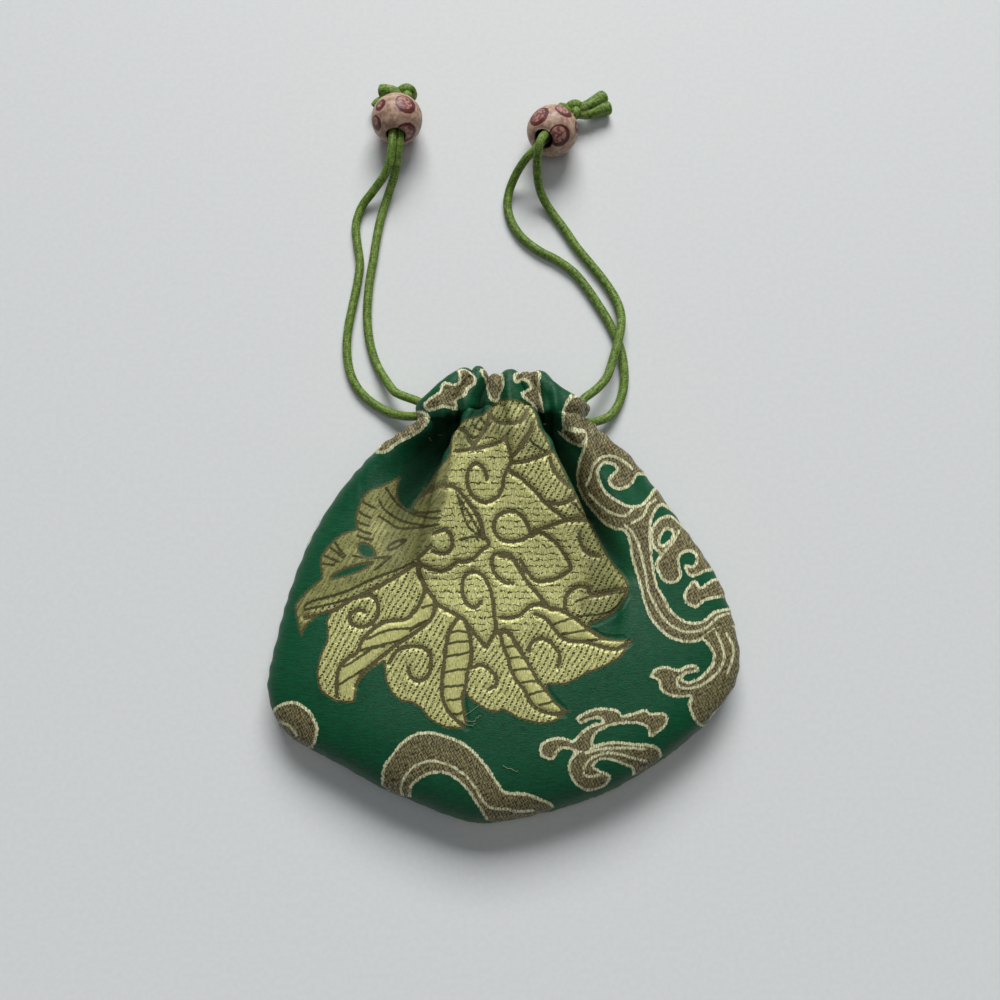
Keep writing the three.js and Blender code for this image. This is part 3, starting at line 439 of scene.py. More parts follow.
# The part of the flower that is bound down in level rows
MIDDLE = {
    "middle": [(450, 441), (512, 440), (514, 472), (560, 520), (592, 598), (548, 617), (485, 645), (430, 600),
        (410, 560), (438, 500)],
}
# Parts of the flower where the cloth is turned away from the light, darkened with painted shade
SHADED_PARTS = {
    "cap": [(462, 425), (480, 412), (505, 399), (530, 404), (541, 428), (548, 450), (524, 456), (502, 438),
        (478, 446), (455, 450), (450, 440)],
    "right": [(553, 452), (577, 490), (596, 526), (614, 560), (630, 588), (616, 612), (590, 624), (576, 604),
        (586, 566), (578, 530), (562, 500), (552, 474)],
    "left": [(452, 446), (444, 500), (436, 530), (420, 560), (392, 576), (380, 540), (400, 505), (430, 480)],
}
# How the pattern is turned over for the back
BACK_TURN = (1010, -120)
# Loose yarn ends on the front, in the camera's frame
LOOSE = {
    "hair": [(502, 764), (509, 768), (519, 771)],
    "tip a": [(464, 716), (472, 711), (478, 706)],
    "tip b": [(466, 720), (474, 721), (480, 715)],
    "tip c": [(463, 722), (470, 726), (476, 724)],
    "side a": [(318, 520), (315, 523), (314, 527)],
    "side b": [(309, 536), (306, 540), (305, 545)],
    "stitch a": [(427, 436), (430, 439)],
    "stitch b": [(436, 432), (440, 435)],
}
LOOSE_YARN = 0.05
# Depth of a fold that takes the full painted shade, and how far the raised yarn stands out, in millimetres
FULL_SHADE_DEPTH = 5.5
YARN_RELIEF = 0.14
# Least share of the cloth's own length that the pattern keeps where the cloth turns away, and how
# the clouds fade on the front's steep walls
UNROLL_FROM = 0.72
STEEP = (0.2, 0.5)
STEEP_REACH = (0.5, 0.62)
STEEP_FADE = 9
# How far from a motif its distance is kept, in the frame, and the points for each charted place
REACH = 14
CURVE_STEPS = 3
# Columns of each panel's grid, its rows up the body, up the hem, over its top and down inside, and how
# many of them the lining face skips
FRONT_GRID = (286, (246, 16, 14, 16))
BACK_GRID = (190, (166, 12, 10, 13))
LINING_STEP = 3


# Curves and tables

def spline(places, steps, closed=False):
    """Points on a smooth curve through the places, the same curve that the model's cords follow."""
    p = np.array(places, float)
    if closed:
        p = np.vstack([p[-1:], p, p[:2]])
    else:
        p = np.vstack([2 * p[0] - p[1], p, 2 * p[-1] - p[-2]])
    out = []
    for i in range(1, len(p) - 2):
        p0, p1, p2, p3 = p[i - 1:i + 3]
        d0, d1, d2 = (max(np.linalg.norm(b - a), 1e-6) ** 0.5 for a, b in ((p0, p1), (p1, p2), (p2, p3)))
        start = ((p1 - p0) / d0 - (p2 - p0) / (d0 + d1) + (p2 - p1) / d1) * d1
        end = ((p2 - p1) / d1 - (p3 - p1) / (d1 + d2) + (p3 - p2) / d2) * d1
        t = (np.arange(steps) / steps)[:, None]
        out.append(p1 + start * t + (3 * (p2 - p1) - 2 * start - end) * t ** 2
                   + (2 * (p1 - p2) + start + end) * t ** 3)
    if not closed:
        out.append(p[-2:-1])
    return np.vstack(out)


def even(points, spacing):
    """The same line with its points an even distance apart."""
    run = np.concatenate([[0], np.cumsum(np.linalg.norm(np.diff(points, axis=0), axis=1))])
    count = max(int(round(run[-1] / spacing)), 2)
    marks = np.linspace(0, run[-1], count + 1)
    return np.stack([np.interp(marks, run, points[:, k]) for k in range(points.shape[1])], axis=1)


def look_up(table, column, at):
    """Value of a column at a place, on a smooth curve through the rows."""
    x = np.array(table["at"], float)
    y = np.array(table[column], float)
    at = np.asarray(at, float)
    i = np.clip(np.searchsorted(x, at, side="left") - 1, 0, len(x) - 2)
    before, after = np.maximum(i - 1, 0), np.minimum(i + 2, len(x) - 1)
    span = x[i + 1] - x[i]
    t = np.clip((at - x[i]) / span, 0, 1)
    start = (y[i + 1] - y[before]) / (x[i + 1] - x[before]) * span
    end = (y[after] - y[i]) / (x[after] - x[i]) * span
    return ((2 * t ** 3 - 3 * t ** 2 + 1) * y[i] + (t ** 3 - 2 * t ** 2 + t) * start
            + (3 * t ** 2 - 2 * t ** 3) * y[i + 1] + (t ** 3 - t ** 2) * end)


def smoothstep(x, low, high):
    t = np.clip((x - low) / (high - low), 0, 1)
    return t * t * (3 - 2 * t)


def mix(a, b, t):
    return a + (b - a) * t


# Form of the cloth

def ring(across, side):
    """Middle of the drawcord tunnel round the gathers, and the way out of it."""
    gap = SLIT_ABOVE if side > 0 else SLIT_BELOW
    run = np.abs(across) * (RING_STRAIGHT + RING_RADIUS * (math.pi / 2 - gap))
    turned = np.maximum(run - RING_STRAIGHT, 0) / RING_RADIUS
    x = np.minimum(run, RING_STRAIGHT) + RING_RADIUS * np.sin(turned)
    drop = np.where(across < 0, RING_DROP["left"], RING_DROP["right"])
    way = np.sign(across)
    return {
        "x": RING_ACROSS * HALF_WIDTH + way * x,
        "y": FOLD_START - drop * POUCH_LENGTH * across ** 2,
        "z": RING_HEIGHT + side * RING_RADIUS * np.cos(turned),
        "out_x": way * np.sin(turned),
        "out_z": side * np.cos(turned),
        "share": way * x / (NECK_WIDTH / 2),
    }


def gathers(share, side):
    """How far the cloth stands out in gathers at a share of the neck's width, from 0 to 1."""
    total = 0
    for middle, reach, height in FRONT_GATHERS if side > 0 else BACK_GATHERS:
        off = np.abs(share - middle) / reach
        total = total + np.where(off < 1, height * (1 - np.minimum(off, 1) ** 2.6) ** 1.2, 0)
    return np.minimum(total, 1)


def draw_in(place):
    """The neck drawn together: narrower towards its top, with its ends pushed up by the cords."""
    x, y = place[..., 0], place[..., 1]
    centre = RING_ACROSS * HALF_WIDTH
    share = np.abs(x - centre) / (NECK_WIDTH / 2)
    below = 1 - smoothstep(y, *NECK_END)
    low, full, fall, end, amount = SHOULDER_DRAW
    shoulder = (amount * smoothstep(y, low, full) * (1 - smoothstep(y, fall, end))
                * (1 - smoothstep(share, *SHOULDER_FADE)))
    low, full, amount = NECK_DRAW
    neck = amount * smoothstep(y, low, full) * (1 - smoothstep(share, *NECK_FADE)) * below
    lift = 0
    for side, way in (("left", -1), ("right", 1)):
        a, b, c, e, height = NECK_LIFT[side]
        on_side = way * (x - centre) > 0
        lift = lift + height * smoothstep(share, a, b) * (1 - smoothstep(share, c, e)) * on_side
    out = np.array(place, float)
    out[..., 0] = centre + (x - centre) * (1 - shoulder - neck)
    out[..., 1] = y + lift * smoothstep(y, *NECK_LIFT_FROM) * below
    return out


def plan(across, up, stitch, stitch_left, stitch_right):
    """A patch stretched between the bottom seam, the two side seams and the row of stitches."""
    s = (1 + (1 + SIDE_ROUND) * across - SIDE_ROUND * across ** 3) / 2

    def seam(table, end):
        x, y = (look_up(table, c, up) for c in ("across", "along"))
        t = np.clip((up - table["at"][-1]) / (1 - table["at"][-1]), 0, 1)
        return mix(x * HALF_WIDTH, end["x"], t), mix(y * POUCH_LENGTH, end["y"], t)

    low_left = (LEFT_SEAM["across"][0] * HALF_WIDTH, LEFT_SEAM["along"][0] * POUCH_LENGTH)
    low_right = (RIGHT_SEAM["across"][0] * HALF_WIDTH, RIGHT_SEAM["along"][0] * POUCH_LENGTH)
    bottom = (mix(low_left[0], low_right[0], s), look_up(BOTTOM_SEAM, "along", s) * POUCH_LENGTH)
    left, right = seam(LEFT_SEAM, stitch_left), seam(RIGHT_SEAM, stitch_right)
    out = []
    for k, name in enumerate(("x", "y")):
        corners = mix(mix(low_left[k], low_right[k], s), mix(stitch_left[name], stitch_right[name], s), up)
        out.append(mix(bottom[k], stitch[name], up) + mix(left[k], right[k], s) - corners)
    return out


def folds(x, y):
    """Height of the folds at a place on the front, and how far they lean across."""
    height, lean = 0, 0
    along = y / POUCH_LENGTH
    for line, heights, reach, tilt in FRONT_FOLDS.values():
        a, b, c = line
        t = np.clip((along - a[1]) / (c[1] - a[1]), 0, 1)
        bend = (b[1] - a[1]) / (c[1] - a[1])

        def through(p, q, r):
            return mix(p, r, t) + (q - mix(p, r, bend)) * t * (1 - t) / (bend * (1 - bend))

        off = x / HALF_WIDTH - through(a[0], b[0], c[0])
        shape = np.exp(-(off / np.where(off < 0, reach[0], reach[1])) ** 2)
        end = np.where(along < c[1], np.exp(-((c[1] - along) / FOLD_END) ** 2), 1)
        lift = FOLD_RELIEF * through(*heights) * shape * end
        height = height + lift
        lean = lean + lift * tilt
    return height, lean


def cloth_body(across, row, side, folded):
    """Middle of the cloth from the bottom seam to the row of stitches."""
    up = np.where(row < BODY_START, row * row / (2 * BODY_START - BODY_START ** 2),
                  (2 * row - BODY_START) / (2 - BODY_START))
    pinch = FRONT_PINCH if side > 0 else STITCH_PINCH

    def stitch_at(place):
        r = ring(np.asarray(place, float), side)
        return {"x": r["x"] + r["out_x"] * pinch, "y": r["y"] - CASING_DEPTH,
                "z": r["z"] + r["out_z"] * pinch}

    here = ring(across, side)
    stitch = stitch_at(across)
    x, y = plan(across, up, stitch, stitch_at(-1), stitch_at(1))
    seam = mix(SEAM_HEIGHT, RING_HEIGHT, look_up(SWELL, "rise", up)) + side * SEAM_GAP / 2
    low = np.minimum(up / BOTTOM_ROUND, 1)
    rounding = (1 - across ** 2) * np.sqrt(1 - (1 - low) ** 2)
    if side > 0:
        z = seam + (look_up(SWELL, "front", up) * BODY_HEIGHT - CLOTH / 2 - seam) * rounding ** SWELL_SHAPE
    else:
        z = CLOTH / 2 + (seam - CLOTH / 2) * np.maximum(0, 1 - BACK_FLAT * rounding) ** 2
    slit = stitch_at(1)["z"] - RING_HEIGHT - side * SEAM_GAP / 2
    closed = slit * (1 - smoothstep(up, SLIT_START, 1)) * across ** 4
    z = mix(z, stitch["z"] - closed, smoothstep(up, RING_START, 1))
    if folded and side > 0:
        edge = np.sqrt(rounding)
        height, lean = folds(x, y)
        x = x + lean * edge
        z = z + height * edge * (1 - smoothstep(up, FOLD_TOP, 1))
    lobe = FRONT_LOBE if side > 0 else BACK_LOBE
    relief = gathers(here["share"], side)
    gather = (lobe * relief - CREASE * (1 - relief)) * np.exp(-((1 - up) / GATHER_FADE) ** 2)
    return np.stack([x + here["out_x"] * gather, y, z + here["out_z"] * gather], axis=-1)


def cloth_hem(across, row, side):
    """Middle of the cloth in the hem: up its outside, over its top and down inside the mouth."""
    here = ring(across, side)
    relief = gathers(here["share"], side)
    outer = TUNNEL + (FRONT_LOBE if side > 0 else BACK_LOBE) * relief - CREASE * (1 - relief)
    inner = TUNNEL + HEM_RIPPLE * relief
    stitched = (FRONT_PINCH if side > 0 else STITCH_PINCH) + outer - TUNNEL
    wall = np.clip(2 - row, 0, 1)
    turn = np.clip(row - 2, 0, 1) * math.pi
    back = np.clip(row - 3, 0, 1)
    out = np.where(row < 2, mix(outer, stitched, wall ** PINCH_ONSET),
                   (outer - inner) / 2 + (outer + inner) / 2 * np.cos(turn))
    out = np.where(row > 3, -mix(inner, STITCH_PINCH, back ** PINCH_ONSET), out)
    y = (here["y"] - wall * CASING_DEPTH + (outer + inner) / 2 * np.sin(turn)
         - back * (CASING_DEPTH - CLOTH / 2))
    return np.stack([here["x"] + here["out_x"] * out, y, here["z"] + here["out_z"] * out], axis=-1)


def cloth_middle(across, row, side, folded=True):
    """Middle of the cloth. Row runs 0 to 1 up the body, then over the hem and down inside to 4."""
    body = cloth_body(across, np.minimum(row, 1), side, folded)
    hem = cloth_hem(across, np.maximum(row, 1), side)
    return draw_in(np.where((row > 1)[..., None], hem, body))


# Fine surface of the cloth that the model leaves out

def wrinkles(place, across, row, side):
    """Height of the small puckers along the casing and the seams, and of the slack in the cloth."""
    x, y = place[..., 0], place[..., 1]
    below = np.exp(-(np.maximum(1 - row, 0) / 0.13) ** 1.5)
    above = np.exp(-(np.maximum(row - 1, 0) / 0.75) ** 2)
    pucker = CASING_PUCKER * below * above * np.sin(x * 1.9 + 1.6 * np.sin(x * 0.6 + 0.5 * side) + 0.25 * y)
    seam_side = smoothstep(np.abs(across), 0.86, 1) * (row < 1)
    pucker = pucker + SEAM_PUCKER * seam_side * np.sin(y * 1.5 + 0.8 * np.sin(y * 0.43 + side))
    seam_foot = (1 - smoothstep(row, 0, 0.1)) * (1 - across ** 8)
    pucker = pucker + SEAM_PUCKER * seam_foot * np.sin(x * 1.35 + 0.9 * np.sin(x * 0.31))
    slack = (SLACK[0] * np.sin(x * 0.21 + 0.9) * np.sin(y * 0.17 + 0.4)
             + SLACK[1] * np.sin(x * 0.11 - y * 0.34))
    return (pucker + slack * (1 - across ** 4) * smoothstep(row, 0.05, 0.3) * (row < 1)
            * (1 - smoothstep(row, 0.8, 1)))


def normals(place):
    """The way square to a grid of places, at each of them."""
    across_way = np.gradient(place, axis=0)
    row_way = np.gradient(place, axis=1)
    n = np.cross(across_way, row_way)
    return n / np.maximum(np.linalg.norm(n, axis=-1, keepdims=True), 1e-9)


def row_places(counts):
    """Rows of the grid: up the body, up the hem, over its top and down inside."""
    body, wall, turn, back = counts
    parts = [np.linspace(0, 1, body, endpoint=False), np.linspace(1, 2, wall, endpoint=False),
             np.linspace(2, 3, turn, endpoint=False), np.linspace(3, 4, back)]
    return np.concatenate(parts)


def cloth_faces(side, columns, counts):
    """The outer face, the middle and the outward way of one panel, as grids of places."""
    across, row = np.meshgrid(np.linspace(-1, 1, columns), row_places(counts), indexing="ij")
    middle = cloth_middle(across, row, side)
    way = normals(middle) * side
    edge = (np.abs(across) > 1 - 1e-9) | (row < 1e-9)
    level = np.where(edge, smoothstep(row, SLIT_START, 1), 1)
    way[..., 2] *= level
    way /= np.maximum(np.linalg.norm(way, axis=-1, keepdims=True), 1e-9)
    middle = middle + way * (wrinkles(middle, across, row, side) * level)[..., None]
    return middle, way, across, row


def grid_quads(rows, columns, offset, flip):
    """Faces of a grid whose points start at an offset."""
    index = offset + np.arange(columns * rows).reshape(columns, rows)
    a, b, c, d = index[:-1, :-1], index[1:, :-1], index[1:, 1:], index[:-1, 1:]
    quads = np.stack([a, b, c, d] if not flip else [a, d, c, b], axis=-1)
    return quads.reshape(-1, 4)


def hoops(count, sides, closed=False):
    """Faces between hoops of points in a row, and from the last back to the first where closed."""
    faces = []
    for i in range(count if closed else count - 1):
        j = (i + 1) % count
        for k in range(sides):
            n = (k + 1) % sides
            faces.append((i * sides + k, i * sides + n, j * sides + n, j * sides + k))
    return faces


def add(name, data):
    """A new item in the scene."""
    item = bpy.data.objects.new(name, data)
    bpy.context.scene.collection.objects.link(item)
    return item


def add_piece(name, places, faces):
    """A piece of the scene from places in millimetres, riding on the pouch."""
    mesh = bpy.data.meshes.new(name)
    mesh.from_pydata((np.asarray(places, float) * MM).tolist(), [], [list(map(int, f)) for f in faces])
    mesh.polygons.foreach_set("use_smooth", np.full(len(mesh.polygons), True))
    mesh.update()
    piece = add(name, mesh)
    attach(piece, "root")
    return piece


def store(piece, name, values):
    """Keeps one number for each point of a mesh, for its material to read."""
    attribute = piece.data.attributes.new(name, "FLOAT", "POINT")
    attribute.data.foreach_set("value", np.asarray(values, np.float32).ravel())


def store_map(piece, places):
    """Keeps a flat place in millimetres for each corner of a mesh, as its UV map."""
    layer = piece.data.uv_layers.new(name="weave")
    corners = np.zeros(len(piece.data.loops), np.int32)
    piece.data.loops.foreach_get("vertex_index", corners)
    layer.data.foreach_set("uv", places[corners].astype(np.float32).ravel())


def panel(name, side, columns, counts):
    """One panel of the pouch: a closed sheet with a fine outer face and a coarser lining face."""
    middle, way, across, row = cloth_faces(side, columns, counts)
    face = middle + way * CLOTH / 2
    relief, fields, flat = pattern_fields(face, way, across, row, side)
    face = face + way * relief[..., None]
    rows = face.shape[1]
    coarse = np.ix_(np.arange(0, columns, LINING_STEP), np.arange(0, rows, LINING_STEP))
    lining = (middle - way * CLOTH / 2)[coarse]
    places = np.vstack([face.reshape(-1, 3), lining.reshape(-1, 3)])
    outer = np.arange(columns * rows).reshape(columns, rows)
    inner = columns * rows + np.arange(lining.shape[0] * lining.shape[1]).reshape(lining.shape[:2])
    faces = grid_quads(rows, columns, 0, side < 0).tolist()
    faces += grid_quads(lining.shape[1], lining.shape[0], columns * rows, side > 0).tolist()
    for edge, hem, flip in ((outer[:, 0], inner[:, 0], side > 0), (outer[:, -1], inner[:, -1], side < 0),
                            (outer[0], inner[0], side < 0), (outer[-1], inner[-1], side > 0)):
        for i in range(len(hem) - 1):
            run = edge[i * LINING_STEP:(i + 1) * LINING_STEP + 1].tolist()
            face_loop = run + [int(hem[i + 1]), int(hem[i])]
            faces.append(face_loop[::-1] if flip else face_loop)
    piece = add_piece(name, places, faces)
    for key, values in fields.items():
        store(piece, key, np.concatenate([values.ravel(), values[coarse].ravel()]))
    inside = np.concatenate([np.zeros(columns * rows), np.ones(inner.size)])
    store(piece, "lining", inside)
    store_map(piece, np.vstack([flat.reshape(-1, 2), flat[coarse].reshape(-1, 2)]))
    return piece


# The woven pattern. Places are in the camera's frame, 1000 wide, and are carried to the cloth
# through the camera, so that a motif lies where it is seen.

def to_frame(place):
    """Where a place in millimetres is seen in the camera's frame."""
    focal = LENS / SENSOR * FRAME_WIDTH
    dx, dy, dz = (place[..., k] - AIM[k] for k in range(3))
    ahead = DISTANCE + dy * math.cos(ELEVATION) - dz * math.sin(ELEVATION)
    upward = dy * math.sin(ELEVATION) + dz * math.cos(ELEVATION)
    half = FRAME_WIDTH / 2
    return np.stack([half + focal * dx / ahead, half - focal * upward / ahead], axis=-1)


def unroll(across, row, side):
    """Flat place of the cloth in frame units: as seen where it faces the camera, and carried on
    by its own length where it turns away at the seams and inside the mouth."""
    base = cloth_middle(across, row, side, folded=False)
    seen = to_frame(base)
    scale = LENS / SENSOR * FRAME_WIDTH / (DISTANCE - BODY_HEIGHT / 2)
    extra = np.zeros_like(seen)
    for axis, start in ((0, across.shape[0] // 2), (1, int(np.argmax(row[0] >= 0.5)))):
        step = np.diff(base, axis=axis)
        seen_step = np.diff(seen, axis=axis)
        seen_length = np.linalg.norm(seen_step, axis=-1)
        more = np.maximum(np.linalg.norm(step, axis=-1) * scale * UNROLL_FROM - seen_length, 0)
        push = seen_step / np.maximum(seen_length, 1e-6)[..., None] * more[..., None]
        if axis == 1:
            push *= (row[:, 1:] <= 1)[..., None]
        run = np.insert(np.cumsum(push, axis=axis), 0, 0, axis=axis)
        extra += run - np.take(run, [start], axis=axis)
    inside = np.maximum(row - 2.2, 0)
    extra[..., 1] -= inside * 5 * scale
    return extra


def near(places, points, closed, reach):
    """Distance of each place to a line, no more than reach. Inside a closed line it is positive."""
    low, high = points.min(0) - reach, points.max(0) + reach
    hit = np.all((places > low) & (places < high), axis=1)
    out = np.full(len(places), -reach if closed else reach)
    p = places[hit]
    if not len(p):
        return out
    a = points
    b = np.roll(points, -1, axis=0) if closed else points[1:]
    a = a if closed else points[:-1]
    best = np.full(len(p), np.inf)
    inside = np.zeros(len(p), bool)
    for s, e in zip(a, b):
        d = e - s
        length = d @ d
        if length < 1e-9:
            continue
        w = p - s
        t = np.clip(w @ d / length, 0, 1)
        off = w - t[:, None] * d
        best = np.minimum(best, np.einsum("ij,ij->i", off, off))
        if closed:
            straddles = (s[1] > p[:, 1]) != (e[1] > p[:, 1])
            if abs(e[1] - s[1]) > 1e-12:
                inside ^= straddles & (p[:, 0] < (e[0] - s[0]) * (p[:, 1] - s[1]) / (e[1] - s[1]) + s[0])
    distance = np.minimum(np.sqrt(best), reach)
    out[hit] = np.where(inside, distance, -distance) if closed else distance
    return out


def region(places, motifs, names):
    """Signed distance to the union of some closed motifs, positive inside."""
    total = np.full(len(places), float(-REACH))
    for name in names:
        total = np.maximum(total, near(places, spline(motifs[name], CURVE_STEPS, closed=True), True, REACH))
    return total


def lines(places, motifs):
    """Distance to the nearest of some open lines."""
    total = np.full(len(places), float(REACH))
    for stroke in motifs.values():
        total = np.minimum(total, near(places, spline(stroke, CURVE_STEPS), False, REACH))
    return total


def hollows(across, row, side):
    """How much painted shade each point takes, from 0 to 1, by how deep it lies in a fold or between two
    gathers.
    """
    base = cloth_middle(across, row, side, folded=False)
    depth = np.zeros(across.shape)
    if side > 0:
        depth = np.maximum(-folds(base[..., 0], base[..., 1])[0], 0) / FULL_SHADE_DEPTH * (row < 1)
    crease = (1 - gathers(ring(across, side)["share"], side)) ** 2 * (np.abs(across) < 0.93)
    fade = np.where(row < 1, np.exp(-((1 - row) / GATHER_FADE) ** 2), 1 - smoothstep(row, 1.7, 2.6))
    return np.clip(np.maximum(depth, crease * fade), 0, 1)


def pattern_fields(face, way, across, row, side):
    """The pattern's distances at each point of a panel, and how far the raised yarn stands out."""
    places = to_frame(face) + unroll(across, row, side)
    flat = places.copy()
    if side < 0:
        places[..., 0] = BACK_TURN[0] - places[..., 0]
        places[..., 1] = BACK_TURN[1] + places[..., 1]
    shape = places.shape[:2]
    p = places.reshape(-1, 2)
    bloom = np.minimum(region(p, OUTLINES, ["flower"]), -region(p, OUTLINES, ["flower gap", "flower slit"]))
    cloud_names = [n for n in CLOUDS if n not in ("comma", "scroll eye")]
    cloud = np.minimum(region(p, CLOUDS, cloud_names), -region(p, CLOUDS, ["comma", "scroll eye"]))
    fields = {
        "bloom": bloom,
        "cloud": cloud,
        "hatched": region(p, HATCHED, list(HATCHED)),
        "olive_shade": region(p, OLIVE_SHADE, list(OLIVE_SHADE)),
        "middle": region(p, MIDDLE, list(MIDDLE)),
        "painted_shade": region(p, SHADED_PARTS, list(SHADED_PARTS)),
        "stroke": lines(p, STROKES),
        "vein": lines(p, VEINS),
        "rim": lines(p, RIMS),
    }
    fields = {k: v.reshape(shape) for k, v in fields.items()}
    # Share of painted shade in the folds and between the gathers
    fields["hollow"] = hollows(across, row, side)
    if side > 0:
        steep = (1 - smoothstep(np.abs(way[..., 2]), *STEEP)) * (1 - smoothstep(np.abs(across), *STEEP_REACH))
        fields["cloud"] = fields["cloud"] - STEEP_FADE * steep * (row < 1)
    raised = np.maximum(smoothstep(fields["bloom"], -0.5, 2.5), 0.8 * smoothstep(fields["cloud"], -1, 1.5))
    sunk = 1 - 0.5 * (1 - smoothstep(fields["stroke"], 1, 3)) * (fields["bloom"] > 0)
    return YARN_RELIEF * raised * sunk, fields, flat


# Materials. The dark and the light tone of each kind of surface, as seen from 0 to 255
TONES = {
    "ground": ((0, 60, 33), (2, 84, 50)),
    "gold": ((138, 138, 76), (212, 211, 138)),
    # Gold in painted shade, with its own slanted grain, on the olive parts of the flower
    "shaded gold": ((108, 108, 62), (160, 160, 100)),
    "outline": ((70, 66, 36), (116, 108, 70)),
    "cloud": ((56, 52, 30), (160, 150, 108)),
    "cloud rim": ((136, 134, 88), (234, 234, 194)),
    "cord": ((50, 80, 24), (116, 148, 54)),
    "wood": ((152, 118, 98), (194, 162, 140)),
    "disc": ((116, 62, 60), (182, 134, 120)),
    "ring": ((70, 24, 24), (106, 42, 38)),
    "loose_yarn": ((112, 126, 92), (168, 176, 136)),
    "floor": ((217, 220, 220), (221, 224, 224)),
}
# Single colours on them, as seen from 0 to 255
COLOURS = {
    "ground fibre": (6, 104, 64),
    # Painted glints on the gold thread
    "painted_glint": (254, 253, 196),
    "hatched": (196, 193, 122),
    # Painted shade on the parts of the flower turned away from the light
    "painted_shade": (88, 90, 50),
    "gold gap": (46, 50, 22),
    "vein": (56, 54, 26),
    "cloud gap": (36, 32, 18),
    "lining": (46, 60, 44),
    # Painted shade in the folds and between the gathers
    "hollow": (6, 34, 20),
    # Painted sheen along the cords
    "cord painted sheen": (164, 180, 92),
    # Painted shade inside the bead's bore
    "bore": (34, 18, 14),
}
# Ticks of the gold and of the clouds: their pitch across and along in the frame, and their slant
GOLD_TICKS = (6.0, 3.2, 0.55)
CLOUD_TICKS = (3.2, 3.6, -0.5)
TICK_SHIFT = 0.37
DASH_PITCH = 6.4
# Pitch of the turns of thread round a cord, in millimetres
CORD_TURN = 0.42


def linear(colour):
    """A colour from 0 to 255 as seen, as the light that the shader takes."""
    out = []
    for value in colour:
        c = value / 255
        out.append(c / 12.92 if c <= 0.04045 else ((c + 0.055) / 1.055) ** 2.4)
    return (*out, 1)


class Finish:
    """A node material, with a short call for each kind of node."""

    def __init__(self, name):
        self.material = bpy.data.materials.new(name)
        self.material.use_nodes = True
        self.nodes = self.material.node_tree.nodes
        self.links = self.material.node_tree.links
        self.shader = self.nodes["Principled BSDF"]

    def feed(self, socket, value):
        """Links a socket, or sets it to a number, a colour or the colour of a name."""
        if isinstance(value, bpy.types.NodeSocket):
            self.links.new(value, socket)
        else:
            socket.default_value = linear(COLOURS[value]) if isinstance(value, str) else value

    def set(self, name, value):
        self.feed(self.shader.inputs[name], value)

    def node(self, kind, *values):
        """A new node with its first inputs fed in order."""
        node = self.nodes.new("ShaderNode" + kind)
        for socket, value in zip(node.inputs, values):
            self.feed(socket, value)
        return node

    def math(self, operation, *values):
        node = self.node("Math", *values)
        node.operation = operation
        return node.outputs[0]

    def plus(self, first, second):
        return self.math("ADD", first, second)

    def less(self, first, second):
        return self.math("SUBTRACT", first, second)

    def times(self, first, second):
        return self.math("MULTIPLY", first, second)

    def most(self, first, second):
        return self.math("MAXIMUM", first, second)

    def step(self, value, low, high, start=0.0, end=1.0):
        node = self.node("MapRange", value, low, high, start, end)
        node.interpolation_type = "SMOOTHSTEP"
        return node.outputs[0]

    def mix(self, share, first, second):
        node = self.nodes.new("ShaderNodeMix")
        node.data_type = "RGBA"
        self.feed(node.inputs["Factor"], share)
        for socket, colour in zip([s for s in node.inputs if s.type == "RGBA"], (first, second)):
            self.feed(socket, colour)
        return [s for s in node.outputs if s.type == "RGBA"][0]

    def tones(self, name, value, low, high):
        """From the dark to the light tone of a surface as the value rises."""
        return self.mix(self.step(value, low, high), *map(linear, TONES[name]))

    def field(self, name):
        """A number kept at each point of the mesh."""
        node = self.nodes.new("ShaderNodeAttribute")
        node.attribute_name = name
        return node.outputs["Fac"]

    def lay_flat(self):
        """Makes ready the flat place on the cloth or cord, across and along."""
        node = self.nodes.new("ShaderNodeUVMap")
        node.uv_map = "weave"
        split = self.node("SeparateXYZ", node.outputs[0])
        self.u, self.v = split.outputs["X"], split.outputs["Y"]

    def noise(self, place, scale, detail):
        node = self.nodes.new("ShaderNodeTexNoise")
        for name, value in (("Vector", place), ("Scale", scale), ("Detail", detail)):
            self.feed(node.inputs[name], value)
        return node.outputs["Fac"]

    def noise_at(self, x, y, scale, detail):
        return self.noise(self.node("CombineXYZ", x, y).outputs[0], scale, detail)

    def woven(self, across, along, detail):
        """Noise on the flat place, with its own scale each way, for yarn that runs one way."""
        return self.noise_at(self.times(self.u, across), self.times(self.v, along), 1.0, detail)

    def solid(self, scale, detail):
        """Noise through the whole body of a piece."""
        place = self.nodes.new("ShaderNodeTexCoord").outputs["Object"]
        return self.noise(place, scale, detail)

    def sway(self, across, along, detail, reach):
        """Noise on the flat place to both sides of zero."""
        return self.times(self.less(self.woven(across, along, detail), 0.5), reach)

    def off_middle(self, value):
        """How far a value lies from midway between two whole numbers."""
        return self.math("ABSOLUTE", self.less(self.math("FRACT", value), 0.5))

    def bump(self, height, distance, strength):
        node = self.nodes.new("ShaderNodeBump")
        for name, value in (("Distance", distance), ("Strength", strength), ("Height", height)):
            self.feed(node.inputs[name], value)
        self.set("Normal", node.outputs[0])


def ticks(f, across, along, slant):
    """Short dark floats of the ground yarn, one under another in leaning columns."""
    lean = f.plus(f.math("MULTIPLY_ADD", f.v, slant, f.u), f.sway(0.05, 0.05, 0.0, 5.0))
    column = f.math("DIVIDE", lean, across)
    row = f.plus(f.math("DIVIDE", f.v, along), f.times(f.math("FLOOR", column), TICK_SHIFT))
    mask = f.times(f.step(f.off_middle(row), 0.46, 0.32), f.step(f.off_middle(column), 0.23, 0.12))
    return f.times(mask, f.step(f.woven(0.35, 0.35, 1.0), 0.3, 0.5))


